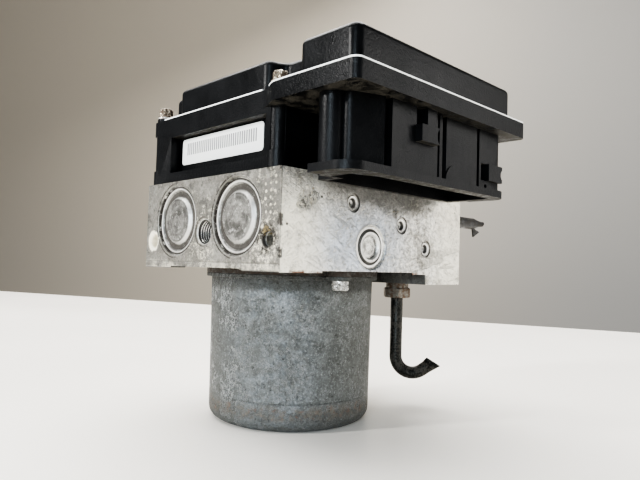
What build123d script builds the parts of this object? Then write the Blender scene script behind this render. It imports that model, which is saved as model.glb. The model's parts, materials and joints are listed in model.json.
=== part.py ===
from build123d import *
import math
import os

os.makedirs("parts", exist_ok=True)

# Brake pressure modulator: an aluminium valve block that stands on its pump motor, with a moulded
# control unit on top. Origin: centre of the motor's flat base. +Z up, -Y is the accumulator side,
# +X is the side with the connector tower. Millimetres.

# Valve block
block_half_width = 42.5
block_front = 44.2  # pump motor axis to the accumulator face
block_back = 58.8  # pump motor axis to the wheel port face
block_height = 33.6
block_base = 58.0  # floor to the block's underside
block_edge = 0.6
corner_chamfer = 0.8
foot_length = 24.7
foot_depth = 4.0
relief_radius = 49.3
relief_depth = 0.7

# Ports with M10x1 thread, drawn at the thread's inner radius
port_radius = 4.5
port_depth = 10.0
port_mouth = 0.7
port_drill_radius = 1.6
port_drill_depth = 5.0
front_port_rise = 13.6
wheel_port_rise = 24.9
wheel_port_pitch = 20.7
supply_port_reach = 18.5
supply_port_back = 12.3  # from the wheel port face

# Fixing holes beside the accumulators
fixing_reach = 36.0
fixing_rise = 10.6
fixing_radius = 2.7
fixing_depth = 8.0

# Accumulators
accumulator_reach = 19.3
accumulator_rise = 18.4
accumulator_radius = 11.8
accumulator_depth = 25.0
cap_seat_radius = 13.2
cap_seat_depth = 3.2
stake_width = 0.9
cap_wall = 1.8
cap_crown_radius = 8.3
cap_groove_inner = 9.3
cap_groove_outer = 11.4
cap_groove_depth = 1.6
cap_ridge_slope = 0.6
cap_lip = 0.3
accumulator_piston_length = 8.0
accumulator_piston_wall = 2.2
accumulator_spring_radius = 7.4
accumulator_spring_wire = 1.6
accumulator_spring_turns = 3.5

# Pump
pump_rise = 9.8  # block underside to the pump axis
chamber_radius = 11.0
chamber_depth = 17.0
eccentricity = 0.7
eccentric_radius = 4.6
eccentric_length = 8.0
eccentric_bearing_radius = 8.5
pump_piston_radius = 3.0
pump_piston_head_radius = 4.4
pump_piston_head = 2.0
pump_guide_length = 8.4
pump_bore_radius = 6.0
pump_seat_radius = 7.6
pump_seat_depth = 5.0
pump_plug_cup_radius = 4.8
pump_plug_ring = 0.8
pump_plug_neck = 2.0
pump_spring_radius = 3.4
pump_spring_wire = 0.8
pump_spring_turns = 3.5

# Clearances
running_gap = 0.05
seat_gap = 0.05
stroke_gap = 0.15
flange_gap = 0.3
screw_end_gap = 1.5

# Solenoid valves and their coils
valve_row_pitch = 19.5
valve_rows = 3
valve_row_size = 4
valve_front_row = -9.0
valve_radius = 5.0
valve_depth = 13.0
valve_dome_radius = 3.2
valve_dome_height = 14.6
coil_gap = 1.35  # half the gap between two coils of a row
coil_side_gap = 0.15  # the last coil to the chamber's side wall
coil_height = 13.0
coil_lift = 1.8
coil_lead = 0.8
coil_lead_reach = 4.8
coil_lead_spread = 3.0
lead_stub = 0.4  # leads and pins stand this far above the board
sensor_front = -27.0
sensor_radius = 5.0
sensor_depth = 8.0
sensor_height = 16.0
sensor_collar = 1.5
sensor_neck = 1.0

# Sealing plugs of the cross drillings
plug_radius = 2.8
plug_length = 4.0
plug_set = 0.6  # the countersunk mouth, and how far the plug stands below it
plug_mouth_radius = 3.3
plug_dimple_radius = 1.6

# Control unit
housing_inset = 2.5  # block side to the housing's side
housing_back = 49.8
housing_wall = 2.2
tray_base = 19.9  # block top to the underside of the tray
tray_height = 5.8
tray_floor = 1.8
tray_overhang = 4.9  # beyond the tower's face
tray_front = 48.0
tray_corner = 2.6
tray_curve = 12.0  # length of the bend in the tray's front edge
tray_curve_start = 5.0  # corner screw to the start of that bend, inwards
core_inset = 10.0
board_post_radius = 1.8
board_post_left = 20.0
board_post_right = 4.0  # beyond the housing's side
board_post_front = 22.0
board_post_back = 26.5
valve_window_margin = 1.25
housing_corner = 3.3  # the front corners stand back by this, so the screw columns round them
chamber_front = 35.8
chamber_back = 40.2
label_height = 10.1
label_thickness = 0.25
label_corner = 1.4
label_recess_depth = 4.0
label_recess_left = 14.8  # from the housing's left side
label_recess_right = 6.2  # from the housing's right side
label_recess_low = 3.8
label_recess_high = 17.9
label_groove_width = 2.2
label_groove_depth = 7.4
label_margin_left = 0.4
label_margin_right = 5.6
label_rise = 7.0

# Corner columns, screws and bushes
screw_inset = 3.75  # from the housing's side
screw_front = 40.7
screw_back = 46.0
column_radius = 3.3
column_foot_radius = 3.9
column_foot_height = 5.4
column_top = 1.5  # above the tray's rim
bush_radius = 2.55
bush_head_radius = 3.3
bush_head = 0.8
screw_radius = 2.0
screw_flange_radius = 3.1
screw_flange = 0.8
screw_head_radius = 2.4
screw_lobe_radius = 0.8
screw_head_height = 3.2
screw_grip = 12.0

# Lid and seal
seal_thickness = 0.6
seal_notch = 5.0
lid_foot = 0.5
lid_foot_inset = 1.0
lid_height = 10.4
lid_wall = 1.8
lid_inset_side = 1.9
lid_back = 41.2
lid_front_left = 41.9
lid_left_notch = 11.8  # left screw to the lid's front corner
lid_notch_left = 4.9  # right screw to the notch's left end
lid_notch_right = 14.7  # right screw to the notch's right end
lid_notch_back = 35.3
lid_notch_slant = 1.6
lid_edge = 2.0
lid_corner = 3.2

# Gasket between housing and block
gasket_width = 1.0
gasket_height = 0.8
gasket_inset = 0.9  # chamber wall to the middle of the gasket

# Circuit board
board_thickness = 1.6
board_lift = 1.3
board_margin = 1.2
board_can_radius = 4.0
board_can_height = 8.0
board_cans = [(10, -26), (20, -26)]
# packages on the board: middle, width along X, width along Y, height
board_packages = [
    (-18, -14, 14, 14, 1.6),
    (22, 25, 10, 10, 1.4),
    (-22, 26, 15, 10, 7.0),
    (38, -18, 9, 6, 2.4),
    (36, 8, 6, 9, 2.4),
]

# Connector tower
tower_gap = 7.5  # housing side to the tower
tower_width = 24.1
tower_step = 7.0  # the tower's front left corner is stepped in by this
tower_step_back = 33.0
tower_front = 40.2
tower_cant = 4.8  # the front panel corner slants back by this
tower_panel_end = 27.7
tower_back = 41.5
tower_drop = 23.7  # tray underside down to the tower's rim
tower_column_x = 13.0  # from the tower's left side
tower_column_y = 40.8
tower_column_radius = 3.9
tower_corner = 5.0
tower_ridge_radius = 2.5
rim_height = 2.6
rim_front = 45.9
rim_back = 44.2
rim_proud = 1.0
rim_corner = 7.0
rim_left = 8.5  # from the tower's left side
socket_wall = 2.1
socket_panel_wall = 4.0
socket_front = 36.5
socket_back = 38.0
socket_roof = 2.0
slot_depth = 2.2
tower_slots = [(-29.0, -26.2), (-2.2, -1.1), (0.6, 2.9), (22.5, 24.1)]
clip_front = -10.2
clip_back = -5.2
clip_slot_width = 3.7
clip_arm_height = 5.8
clip_arm_proud = 1.6
clip_hook_front = -14.4
clip_hook_back = -4.6
clip_hook_height = 5.4
clip_hook_proud = 2.6
clip_hook_hollow = 3.2
rear_clip_front = 28.9
rear_clip_back = 38.6
rear_clip_rise = 5.4  # above the rim's underside
rear_clip_height = 6.1
rear_clip_proud = 1.3
rear_clip_slot = 3.4
rear_clip_hollow = 2.1
disc_y = 7.6
disc_radius = 5.2
disc_proud = 0.4
peg_hole_y = 28.7
peg_hole_radius = 0.8
web_places = [-8.0, 15.0, 38.0]
web_thickness = 2.4
pin_width = 0.8
pin_pitch_x = 4.2
pin_pitch_y = 5.2
pin_rows = 4
pin_row_size = 11
pin_length = 14.0
pin_field_y = 0.0
blade_y = 33.0
blade_width = 4.8

# Pump motor
can_radius = 32.9
can_base_radius = 32.3
can_wall = 2.0
can_edge = 4.5
flange_radius = 34.9
flange_thickness = 1.5
end_plate_thickness = 2.0
spigot_radius = 13.9
spigot_height = 3.0
motor_screw_reach = 38.3
motor_screw_angle = -15.5
motor_screw_radius = 2.3
motor_screw_head_radius = 3.1
motor_screw_head = 3.5
motor_screw_grip = 10.0
motor_lug_radius = 3.9
magnet_thickness = 6.4
magnet_half_angle = 72.0
magnet_overhang = 3.0  # beyond each end of the laminated core
armature_gap = 0.8
armature_lift = 4.4  # lower bearing to the windings
armature_slots = 10
armature_slot_width = 3.0
armature_slot_depth = 8.5
winding_height = 3.6
commutator_radius = 8.0
commutator_height = 5.0
commutator_groove = 0.9
shaft_radius = 3.0
bearing_radius = 8.0
bearing_height = 4.0
brush_width = 4.0
brush_height = 4.0
brush_length = 7.0
brush_spring_length = 5.0
brush_spring_radius = 1.4
brush_spring_wire = 0.5
brush_spring_turns = 2.5
holder_thickness = 1.4
holder_gap = 3.8  # brush holder to the end plate
motor_seal_radius = 30.0
motor_seal_width = 1.5
motor_seal_height = 1.0
contact_radius = 4.4
contact_blade = 2.4
contact_stand = 4.0

# Brake pipes and their nuts
nut_flats = 11.0
nut_hex = 4.4
nut_turn = 15.0
nut_collar = 2.3
nut_collar_radius = 4.95
nut_thread_gap = 0.05
pipe_radius = 2.7
pipe_bore_radius = 1.8
pipe_entry = 5.0
front_pipe_low = 21.6  # floor to the start of the bend
front_pipe_bend = 7.5
front_pipe_turn = 125.0
front_pipe_heading = 45.0
front_pipe_tail = 1.8
pinch_length = 4.6
pinch_half_width = 3.5
pinch_half_thickness = 1.3
pinch_slant = 22.0
rear_pipe_length = 29.5
burr_length = 6.2  # the torn flake under the rear pipe's end
burr_width = 3.6
burr_thickness = 0.8

# Levels and places worked out from the sizes above
housing_half_width = block_half_width - housing_inset
valve_pitch = (housing_half_width - housing_wall + coil_gap - coil_side_gap) / 2
coil_radius = valve_pitch / 2 - coil_gap
screw_reach = housing_half_width - screw_inset
tower_left = housing_half_width + tower_gap
tower_right = tower_left + tower_width
tower_front_left = tower_left + tower_step
tower_ridge = tower_right - tower_cant
tray_right = tower_right + tray_overhang
tray_bend_end = screw_reach - tray_curve_start + tray_curve
block_top = block_base + block_height
foot_base = block_base - foot_depth
relief_top = block_base + relief_depth
pump_level = block_base + pump_rise
accumulator_level = block_base + accumulator_rise
tray_low = block_top + tray_base
tray_top = tray_low + tray_height
tray_deck = tray_low + tray_floor
lid_low = tray_top + seal_thickness
board_low = tray_deck + board_lift
board_top = board_low + board_thickness
rim_low = tray_low - tower_drop
flange_low = relief_top - end_plate_thickness - flange_thickness
plate_low = relief_top - end_plate_thickness
tip_rest = eccentric_bearing_radius + eccentricity + stroke_gap
screw_reach_down = bush_head + column_top + tray_height + tray_base + screw_grip
gasket_width_x = 2 * (housing_half_width - housing_wall + gasket_inset)
gasket_width_y = chamber_front + chamber_back + 2 * gasket_inset
valve_columns = [valve_pitch * (i - (valve_row_size - 1) / 2) for i in range(valve_row_size)]
valve_lines = [valve_front_row + valve_row_pitch * i for i in range(valve_rows)]
valve_places = [(x, y) for y in valve_lines for x in valve_columns]
supply_port_y = block_back - supply_port_back
wheel_port_level = block_base + wheel_port_rise
pump_bore_depth = block_half_width - chamber_radius - pump_guide_length
rear_pipe_x = 1.5 * wheel_port_pitch
contact_y = (valve_lines[1] + valve_lines[2]) / 2
valve_window_half = valve_columns[-1] + coil_lead_spread / 2 + valve_window_margin
housing_screws_at = [
    (-screw_reach, -screw_front),
    (screw_reach, -screw_front),
    (-screw_reach, screw_back),
    (screw_reach, screw_back),
]
motor_screws_at = [
    (
        motor_screw_reach * math.cos(math.radians(angle)),
        motor_screw_reach * math.sin(math.radians(angle)),
    )
    for angle in (motor_screw_angle, motor_screw_angle + 180)
]
front_face = Plane((0, -block_front, 0), x_dir=(1, 0, 0), z_dir=(0, -1, 0))
back_face = Plane((0, block_back, 0), x_dir=(-1, 0, 0), z_dir=(0, 1, 0))
right_face = Plane((block_half_width, 0, 0), x_dir=(0, 1, 0), z_dir=(1, 0, 0))
tower_face = Plane((tower_right, 0, 0), x_dir=(0, 1, 0), z_dir=(1, 0, 0))
left_face = Plane((-block_half_width, 0, 0), x_dir=(0, -1, 0), z_dir=(-1, 0, 0))
side_names = (("left", -1), ("right", 1))
top_face = Plane.XY.offset(block_top)
under_block = Plane((0, 0, block_base), x_dir=(1, 0, 0), z_dir=(0, 0, -1))
under_foot = Plane((0, 0, foot_base), x_dir=(1, 0, 0), z_dir=(0, 0, -1))
motor_screws_below = [(x, -y) for x, y in motor_screws_at]
right_plugs = [(-10.5, block_base + 24.9), (17.5, block_base + 18.8), (33.5, block_base + 10.4)]
left_plugs = [(-12.0, block_base + 27.0), (24.0, block_base + 26.5)]
board_posts = [
    (x, y)
    for x in (-board_post_left, housing_half_width + board_post_right)
    for y in (-board_post_front, board_post_back)
]
valve_names = (
    ["inlet_valve_" + str(i + 1) for i in range(4)]
    + ["outlet_valve_" + str(i + 1) for i in range(4)]
    + ["changeover_valve_1", "suction_valve_1", "suction_valve_2", "changeover_valve_2"]
)



def turned(plane, places, profile, mode=Mode.ADD):
    """A turned form about the plane's normal at each place, from (radius, height) corners."""
    for x, y in places:
        centre = plane.from_local_coords((x, y, 0))
        section = Plane(origin=centre, x_dir=plane.x_dir, z_dir=plane.x_dir.cross(plane.z_dir))
        with BuildSketch(section) as outline:
            with BuildLine():
                Polyline(*profile, close=True)
            make_face()
        revolve(profiles=outline.sketch, axis=Axis(centre, plane.z_dir), mode=mode)


def drilled(plane, places, radius, depth, start=0.0):
    """A plain round hole, from start to depth below the plane."""
    profile = [(0, -start), (radius, -start), (radius, -depth), (0, -depth)]
    turned(plane, places, profile, mode=Mode.SUBTRACT)


def port(plane, places):
    """A threaded port: countersunk mouth, thread bore and the drilling behind it."""
    end = port_depth + port_drill_depth
    profile = [
        (0, 0),
        (port_radius + port_mouth, 0),
        (port_radius, -port_mouth),
        (port_radius, -port_depth),
        (port_drill_radius, -port_depth - port_radius + port_drill_radius),
        (port_drill_radius, -end - port_radius),
        (0, -end - port_radius),
    ]
    turned(plane, places, profile, mode=Mode.SUBTRACT)


def plate(plane, height, low, high, mode=Mode.ADD):
    """A straight block on the plane, between two opposite corners."""
    with BuildSketch(plane) as outline:
        with Locations(((low[0] + high[0]) / 2, (low[1] + high[1]) / 2)):
            Rectangle(high[0] - low[0], high[1] - low[1])
    extrude(to_extrude=outline.sketch, amount=height, mode=mode)


def wound(axis_plane, radius, wire, turns, start, end):
    """A compression spring of square wire about the plane's normal, between two heights."""
    rise = end - start - wire
    centre = axis_plane.from_local_coords((0, 0, start + wire / 2))
    with BuildLine() as path:
        Helix(rise / turns, rise, radius, center=centre, direction=axis_plane.z_dir)
    begin = path.line @ 0
    section = Plane(origin=begin, x_dir=begin - centre, z_dir=path.line % 0)
    with BuildSketch(section) as wire_section:
        Rectangle(wire, wire)
    sweep(sections=wire_section.sketch, path=path.line, is_frenet=True)


def pinched(end_plane, slant):
    """The flattened closed end of a pipe, leaving the plane's origin along its normal."""
    with BuildSketch(end_plane) as root:
        Circle(pipe_radius)
    tip_plane = end_plane.offset(pinch_length).rotated((slant, 0, 0))
    with BuildSketch(tip_plane) as tip:
        RectangleRounded(
            2 * pinch_half_thickness,
            2 * pinch_half_width / math.cos(math.radians(slant)),
            pinch_half_thickness - stroke_gap,
        )
    loft(sections=[root.sketch, tip.sketch], ruled=True)


def finish(builder, name):
    """Label a finished piece and write its file."""
    builder.part.label = name
    export_step(builder.part, "parts/" + name + ".step")


# ---- valve block
with BuildPart() as valve_block:
    plate(
        Plane.XY.offset(block_base),
        block_height,
        (-block_half_width, -block_front),
        (block_half_width, block_back),
    )
    chamfer(
        valve_block.edges().filter_by(Axis.Z).sort_by(Axis.X)[:2].sort_by(Axis.Y)[0],
        length=corner_chamfer,
    )
    chamfer(
        valve_block.edges().filter_by(Axis.X).group_by(Axis.Z)[0].sort_by(Axis.Y)[0],
        length=block_edge,
    )
    plate(
        Plane.XY.offset(foot_base),
        foot_depth,
        (-block_half_width, block_back - foot_length),
        (block_half_width, block_back),
    )
    drilled(under_foot, [(0, 0)], flange_radius + flange_gap, foot_depth + relief_depth)
    with BuildSketch(Plane.XY.offset(block_base)):
        Circle(relief_radius)
        with Locations((0, block_back - foot_length + relief_radius)):
            Rectangle(2 * relief_radius, 2 * relief_radius, mode=Mode.SUBTRACT)
    extrude(amount=relief_depth, mode=Mode.SUBTRACT)
    turned(
        front_face,
        [(-accumulator_reach, accumulator_level), (accumulator_reach, accumulator_level)],
        [
            (0, 0),
            (cap_seat_radius + stake_width, 0),
            (cap_seat_radius, -stake_width),
            (cap_seat_radius, -cap_seat_depth),
            (accumulator_radius, -cap_seat_depth),
            (accumulator_radius, -accumulator_depth),
            (0, -accumulator_depth),
        ],
        mode=Mode.SUBTRACT,
    )
    for face in (left_face, right_face):
        turned(
            face,
            [(0, pump_level)],
            [
                (0, 0),
                (pump_seat_radius + stake_width, 0),
                (pump_seat_radius, -stake_width),
                (pump_seat_radius, -pump_seat_depth),
                (pump_bore_radius, -pump_seat_depth),
                (pump_bore_radius, -pump_bore_depth),
                (pump_piston_radius + running_gap, -pump_bore_depth),
                (pump_piston_radius + running_gap, -block_half_width),
                (0, -block_half_width),
            ],
            mode=Mode.SUBTRACT,
        )
    drilled(under_block, [(0, 0)], chamber_radius, chamber_depth)
    drilled(under_block, [(0, 0)], spigot_radius + seat_gap, relief_depth + spigot_height + seat_gap)
    drilled(
        under_block,
        motor_screws_below,
        motor_screw_radius + seat_gap,
        relief_depth + motor_screw_grip + screw_end_gap,
    )
    drilled(under_block, [(0, -contact_y)], contact_radius + seat_gap, block_height)
    port(front_face, [(0, block_base + front_port_rise)])
    port(back_face, [(wheel_port_pitch * (i - 1.5), wheel_port_level) for i in range(4)])
    port(under_foot, [(-supply_port_reach, -supply_port_y), (supply_port_reach, -supply_port_y)])
    turned(
        front_face,
        [(-fixing_reach, block_base + fixing_rise), (fixing_reach, block_base + fixing_rise)],
        [
            (0, 0),
            (fixing_radius + port_mouth, 0),
            (fixing_radius, -port_mouth),
            (fixing_radius, -fixing_depth),
            (0, -fixing_depth - fixing_radius / 2),
        ],
        mode=Mode.SUBTRACT,
    )
    for face, places in ((right_face, right_plugs), (left_face, left_plugs)):
        turned(
            face,
            places,
            [
                (0, 0),
                (plug_mouth_radius, 0),
                (plug_radius, -plug_set),
                (plug_radius, -plug_length),
                (port_drill_radius, -plug_length),
                (port_drill_radius, -plug_length - port_drill_depth),
                (0, -plug_length - port_drill_depth),
            ],
            mode=Mode.SUBTRACT,
        )
    drilled(top_face, valve_places, valve_radius + seat_gap, valve_depth)
    drilled(top_face, [(0, sensor_front)], sensor_radius + seat_gap, sensor_depth)
    drilled(top_face, housing_screws_at, screw_radius + seat_gap, screw_grip + screw_end_gap)
finish(valve_block, "valve_block")

# ---- accumulators: a grooved cap, a cup piston and the spring between them, on each side
for side, sign in side_names:
    place = [(sign * accumulator_reach, accumulator_level)]
    rim = cap_seat_radius - seat_gap
    with BuildPart() as accumulator_cap:
        turned(
            front_face,
            place,
            [
                (0, -cap_lip),
                (cap_crown_radius, -cap_lip),
                (cap_groove_inner, -cap_groove_depth),
                (cap_groove_outer, -cap_groove_depth),
                (cap_groove_outer + cap_ridge_slope, -stake_width),
                (rim - cap_lip, -stake_width),
                (rim, -stake_width - cap_lip),
                (rim, -cap_seat_depth),
                (accumulator_radius - cap_wall, -cap_seat_depth),
                (accumulator_radius - 2 * cap_wall, -cap_groove_depth - cap_wall),
                (0, -cap_groove_depth - cap_wall),
            ],
        )
    finish(accumulator_cap, "accumulator_cap_" + side)

    piston_back = accumulator_depth - cap_lip
    piston_front = piston_back - accumulator_piston_length
    with BuildPart() as accumulator_piston:
        turned(
            front_face,
            place,
            [
                (0, -piston_back),
                (accumulator_radius - running_gap, -piston_back),
                (accumulator_radius - running_gap, -piston_front),
                (accumulator_radius - accumulator_piston_wall, -piston_front),
                (accumulator_radius - accumulator_piston_wall, -piston_back + accumulator_piston_wall),
                (0, -piston_back + accumulator_piston_wall),
            ],
        )
    finish(accumulator_piston, "accumulator_piston_" + side)

    spring_axis = Plane(
        origin=front_face.from_local_coords((place[0][0], place[0][1], 0)),
        x_dir=(1, 0, 0),
        z_dir=(0, 1, 0),
    )
    with BuildPart() as accumulator_spring:
        wound(
            spring_axis,
            accumulator_spring_radius,
            accumulator_spring_wire,
            accumulator_spring_turns,
            cap_groove_depth + cap_wall + stroke_gap,
            piston_back - accumulator_piston_wall - stroke_gap,
        )
    finish(accumulator_spring, "accumulator_spring_" + side)

# ---- pump elements: plug, spring and piston, on each side of the eccentric
plug_inner_end = pump_seat_depth + pump_plug_neck
piston_head_start = block_half_width - pump_bore_depth + stroke_gap
for side, sign in side_names:
    face = right_face if sign > 0 else left_face
    axis_plane = Plane((0, 0, pump_level), x_dir=(0, sign, 0), z_dir=(sign, 0, 0))
    with BuildPart() as pump_plug:
        turned(
            face,
            [(0, pump_level)],
            [
                (0, -2 * pump_plug_ring),
                (pump_plug_cup_radius - pump_plug_ring, -2 * pump_plug_ring),
                (pump_plug_cup_radius, -pump_plug_ring / 2),
                (pump_bore_radius - pump_plug_ring / 4, -pump_plug_ring / 2),
                (pump_bore_radius + pump_plug_ring / 4, -pump_plug_ring * 1.5),
                (pump_bore_radius + pump_plug_ring, -pump_plug_ring),
                (pump_seat_radius - seat_gap, -pump_plug_ring),
                (pump_seat_radius - seat_gap, -pump_seat_depth),
                (pump_bore_radius - seat_gap, -pump_seat_depth),
                (pump_bore_radius - seat_gap, -plug_inner_end),
                (0, -plug_inner_end),
            ],
        )
    finish(pump_plug, "pump_plug_" + side)

    with BuildPart() as pump_piston:
        turned(
            axis_plane,
            [(0, 0)],
            [
                (0, tip_rest),
                (pump_piston_radius - 2 * stroke_gap, tip_rest),
                (pump_piston_radius, tip_rest + 2 * stroke_gap),
                (pump_piston_radius, piston_head_start),
                (pump_piston_head_radius, piston_head_start),
                (pump_piston_head_radius, piston_head_start + pump_piston_head),
                (0, piston_head_start + pump_piston_head),
            ],
        )
    finish(pump_piston, "pump_piston_" + side)

    with BuildPart() as pump_spring:
        wound(
            axis_plane,
            pump_spring_radius,
            pump_spring_wire,
            pump_spring_turns,
            piston_head_start + pump_piston_head + stroke_gap,
            block_half_width - plug_inner_end - stroke_gap,
        )
    finish(pump_spring, "pump_spring_" + side)

# ---- sealing plugs of the cross drillings
with BuildPart() as ball_plugs:
    for face, places in ((right_face, right_plugs), (left_face, left_plugs)):
        turned(
            face,
            places,
            [
                (0, -plug_set - plug_dimple_radius),
                (plug_dimple_radius, -plug_set - plug_dimple_radius / 2),
                (plug_dimple_radius, -plug_set),
                (plug_radius - plug_set / 2, -plug_set / 2),
                (plug_radius, -plug_set),
                (plug_radius, -plug_length),
                (0, -plug_length),
            ],
        )
finish(ball_plugs, "ball_plugs")

# ---- solenoid valves: a staked cartridge with the closed tube that its coil stands round
for name, (x, y) in zip(valve_names, valve_places):
    with BuildPart() as valve:
        turned(
            top_face,
            [(x, y)],
            [
                (0, -valve_depth),
                (valve_radius, -valve_depth),
                (valve_radius, 0),
                (valve_dome_radius, 0),
                (valve_dome_radius, valve_dome_height),
                (0, valve_dome_height),
            ],
        )
    finish(valve, name)

# ---- coils, one row to a node, each with its two leads up to the board
for row, y in enumerate(valve_lines):
    with BuildPart() as coil_row:
        coil_plane = Plane.XY.offset(block_top + coil_lift)
        with BuildSketch(coil_plane):
            with Locations(*[(x, y) for x in valve_columns]):
                Circle(coil_radius)
                Circle(valve_dome_radius + seat_gap, mode=Mode.SUBTRACT)
        extrude(amount=coil_height)
        with BuildSketch(coil_plane.offset(coil_height)):
            with Locations(*[(x, y + coil_lead_reach) for x in valve_columns]):
                with GridLocations(coil_lead_spread, 1, 2, 1):
                    Rectangle(coil_lead, coil_lead)
        extrude(amount=board_top + lead_stub - block_top - coil_lift - coil_height)
    finish(coil_row, "coil_row_" + str(row + 1))

# ---- pressure sensor
with BuildPart() as pressure_sensor:
    turned(
        top_face,
        [(0, sensor_front)],
        [
            (0, -sensor_depth),
            (sensor_radius, -sensor_depth),
            (sensor_radius, 0),
            (sensor_radius + sensor_collar, 0),
            (sensor_radius + sensor_collar, sensor_height / 2),
            (sensor_radius - sensor_neck, sensor_height / 2),
            (sensor_radius - sensor_neck, sensor_height),
            (0, sensor_height),
        ],
    )
finish(pressure_sensor, "pressure_sensor")

# ---- outlines of the tray and of the lid, seen from above
tray_bend = [(tray_bend_end - tray_curve, -block_front), (tray_bend_end, -tray_front)]
with BuildSketch() as tray_outline:
    with BuildLine():
        Line((-housing_half_width, -block_front), tray_bend[0])
        Spline(*tray_bend, tangents=((1, 0), (1, 0)))
        Polyline(
            tray_bend[1],
            (tray_right, -tray_front),
            (tray_right, housing_back),
            (-housing_half_width, housing_back),
            (-housing_half_width, -block_front),
        )
    make_face()
    fillet(
        tray_outline.vertices().group_by(Axis.X)[-1] + tray_outline.vertices().group_by(Axis.X)[0],
        radius=tray_corner,
    )

lid_left = -housing_half_width + lid_inset_side
lid_right = tray_right - lid_inset_side
lid_left_corner = lid_left_notch - screw_reach
notch_left = screw_reach - lid_notch_left
notch_right = screw_reach + lid_notch_right
with BuildSketch() as lid_outline:
    with BuildLine():
        Polyline(
            (lid_left, lid_back),
            (lid_left, -lid_notch_back),
            (lid_left_corner, -lid_notch_back),
            (lid_left_corner, -lid_front_left),
            (notch_left, -lid_front_left),
            (notch_left + lid_notch_slant, -lid_notch_back),
            (notch_right - lid_notch_slant, -lid_notch_back),
            (notch_right, lid_inset_side - tray_front),
            (lid_right, lid_inset_side - tray_front),
            (lid_right, lid_back),
            close=True,
        )
    make_face()
    fillet(lid_outline.vertices(), radius=lid_corner)

with BuildSketch() as hollow_outline:
    add(offset(lid_outline.sketch, -housing_wall, mode=Mode.PRIVATE))

tower_outline = [
    (tower_left, -tower_step_back),
    (tower_front_left, -tower_step_back),
    (tower_front_left, -tower_front),
    (tower_ridge, -tower_front),
    (tower_right, -tower_panel_end),
    (tower_right, tower_back),
    (tower_left, tower_back),
]

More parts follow.
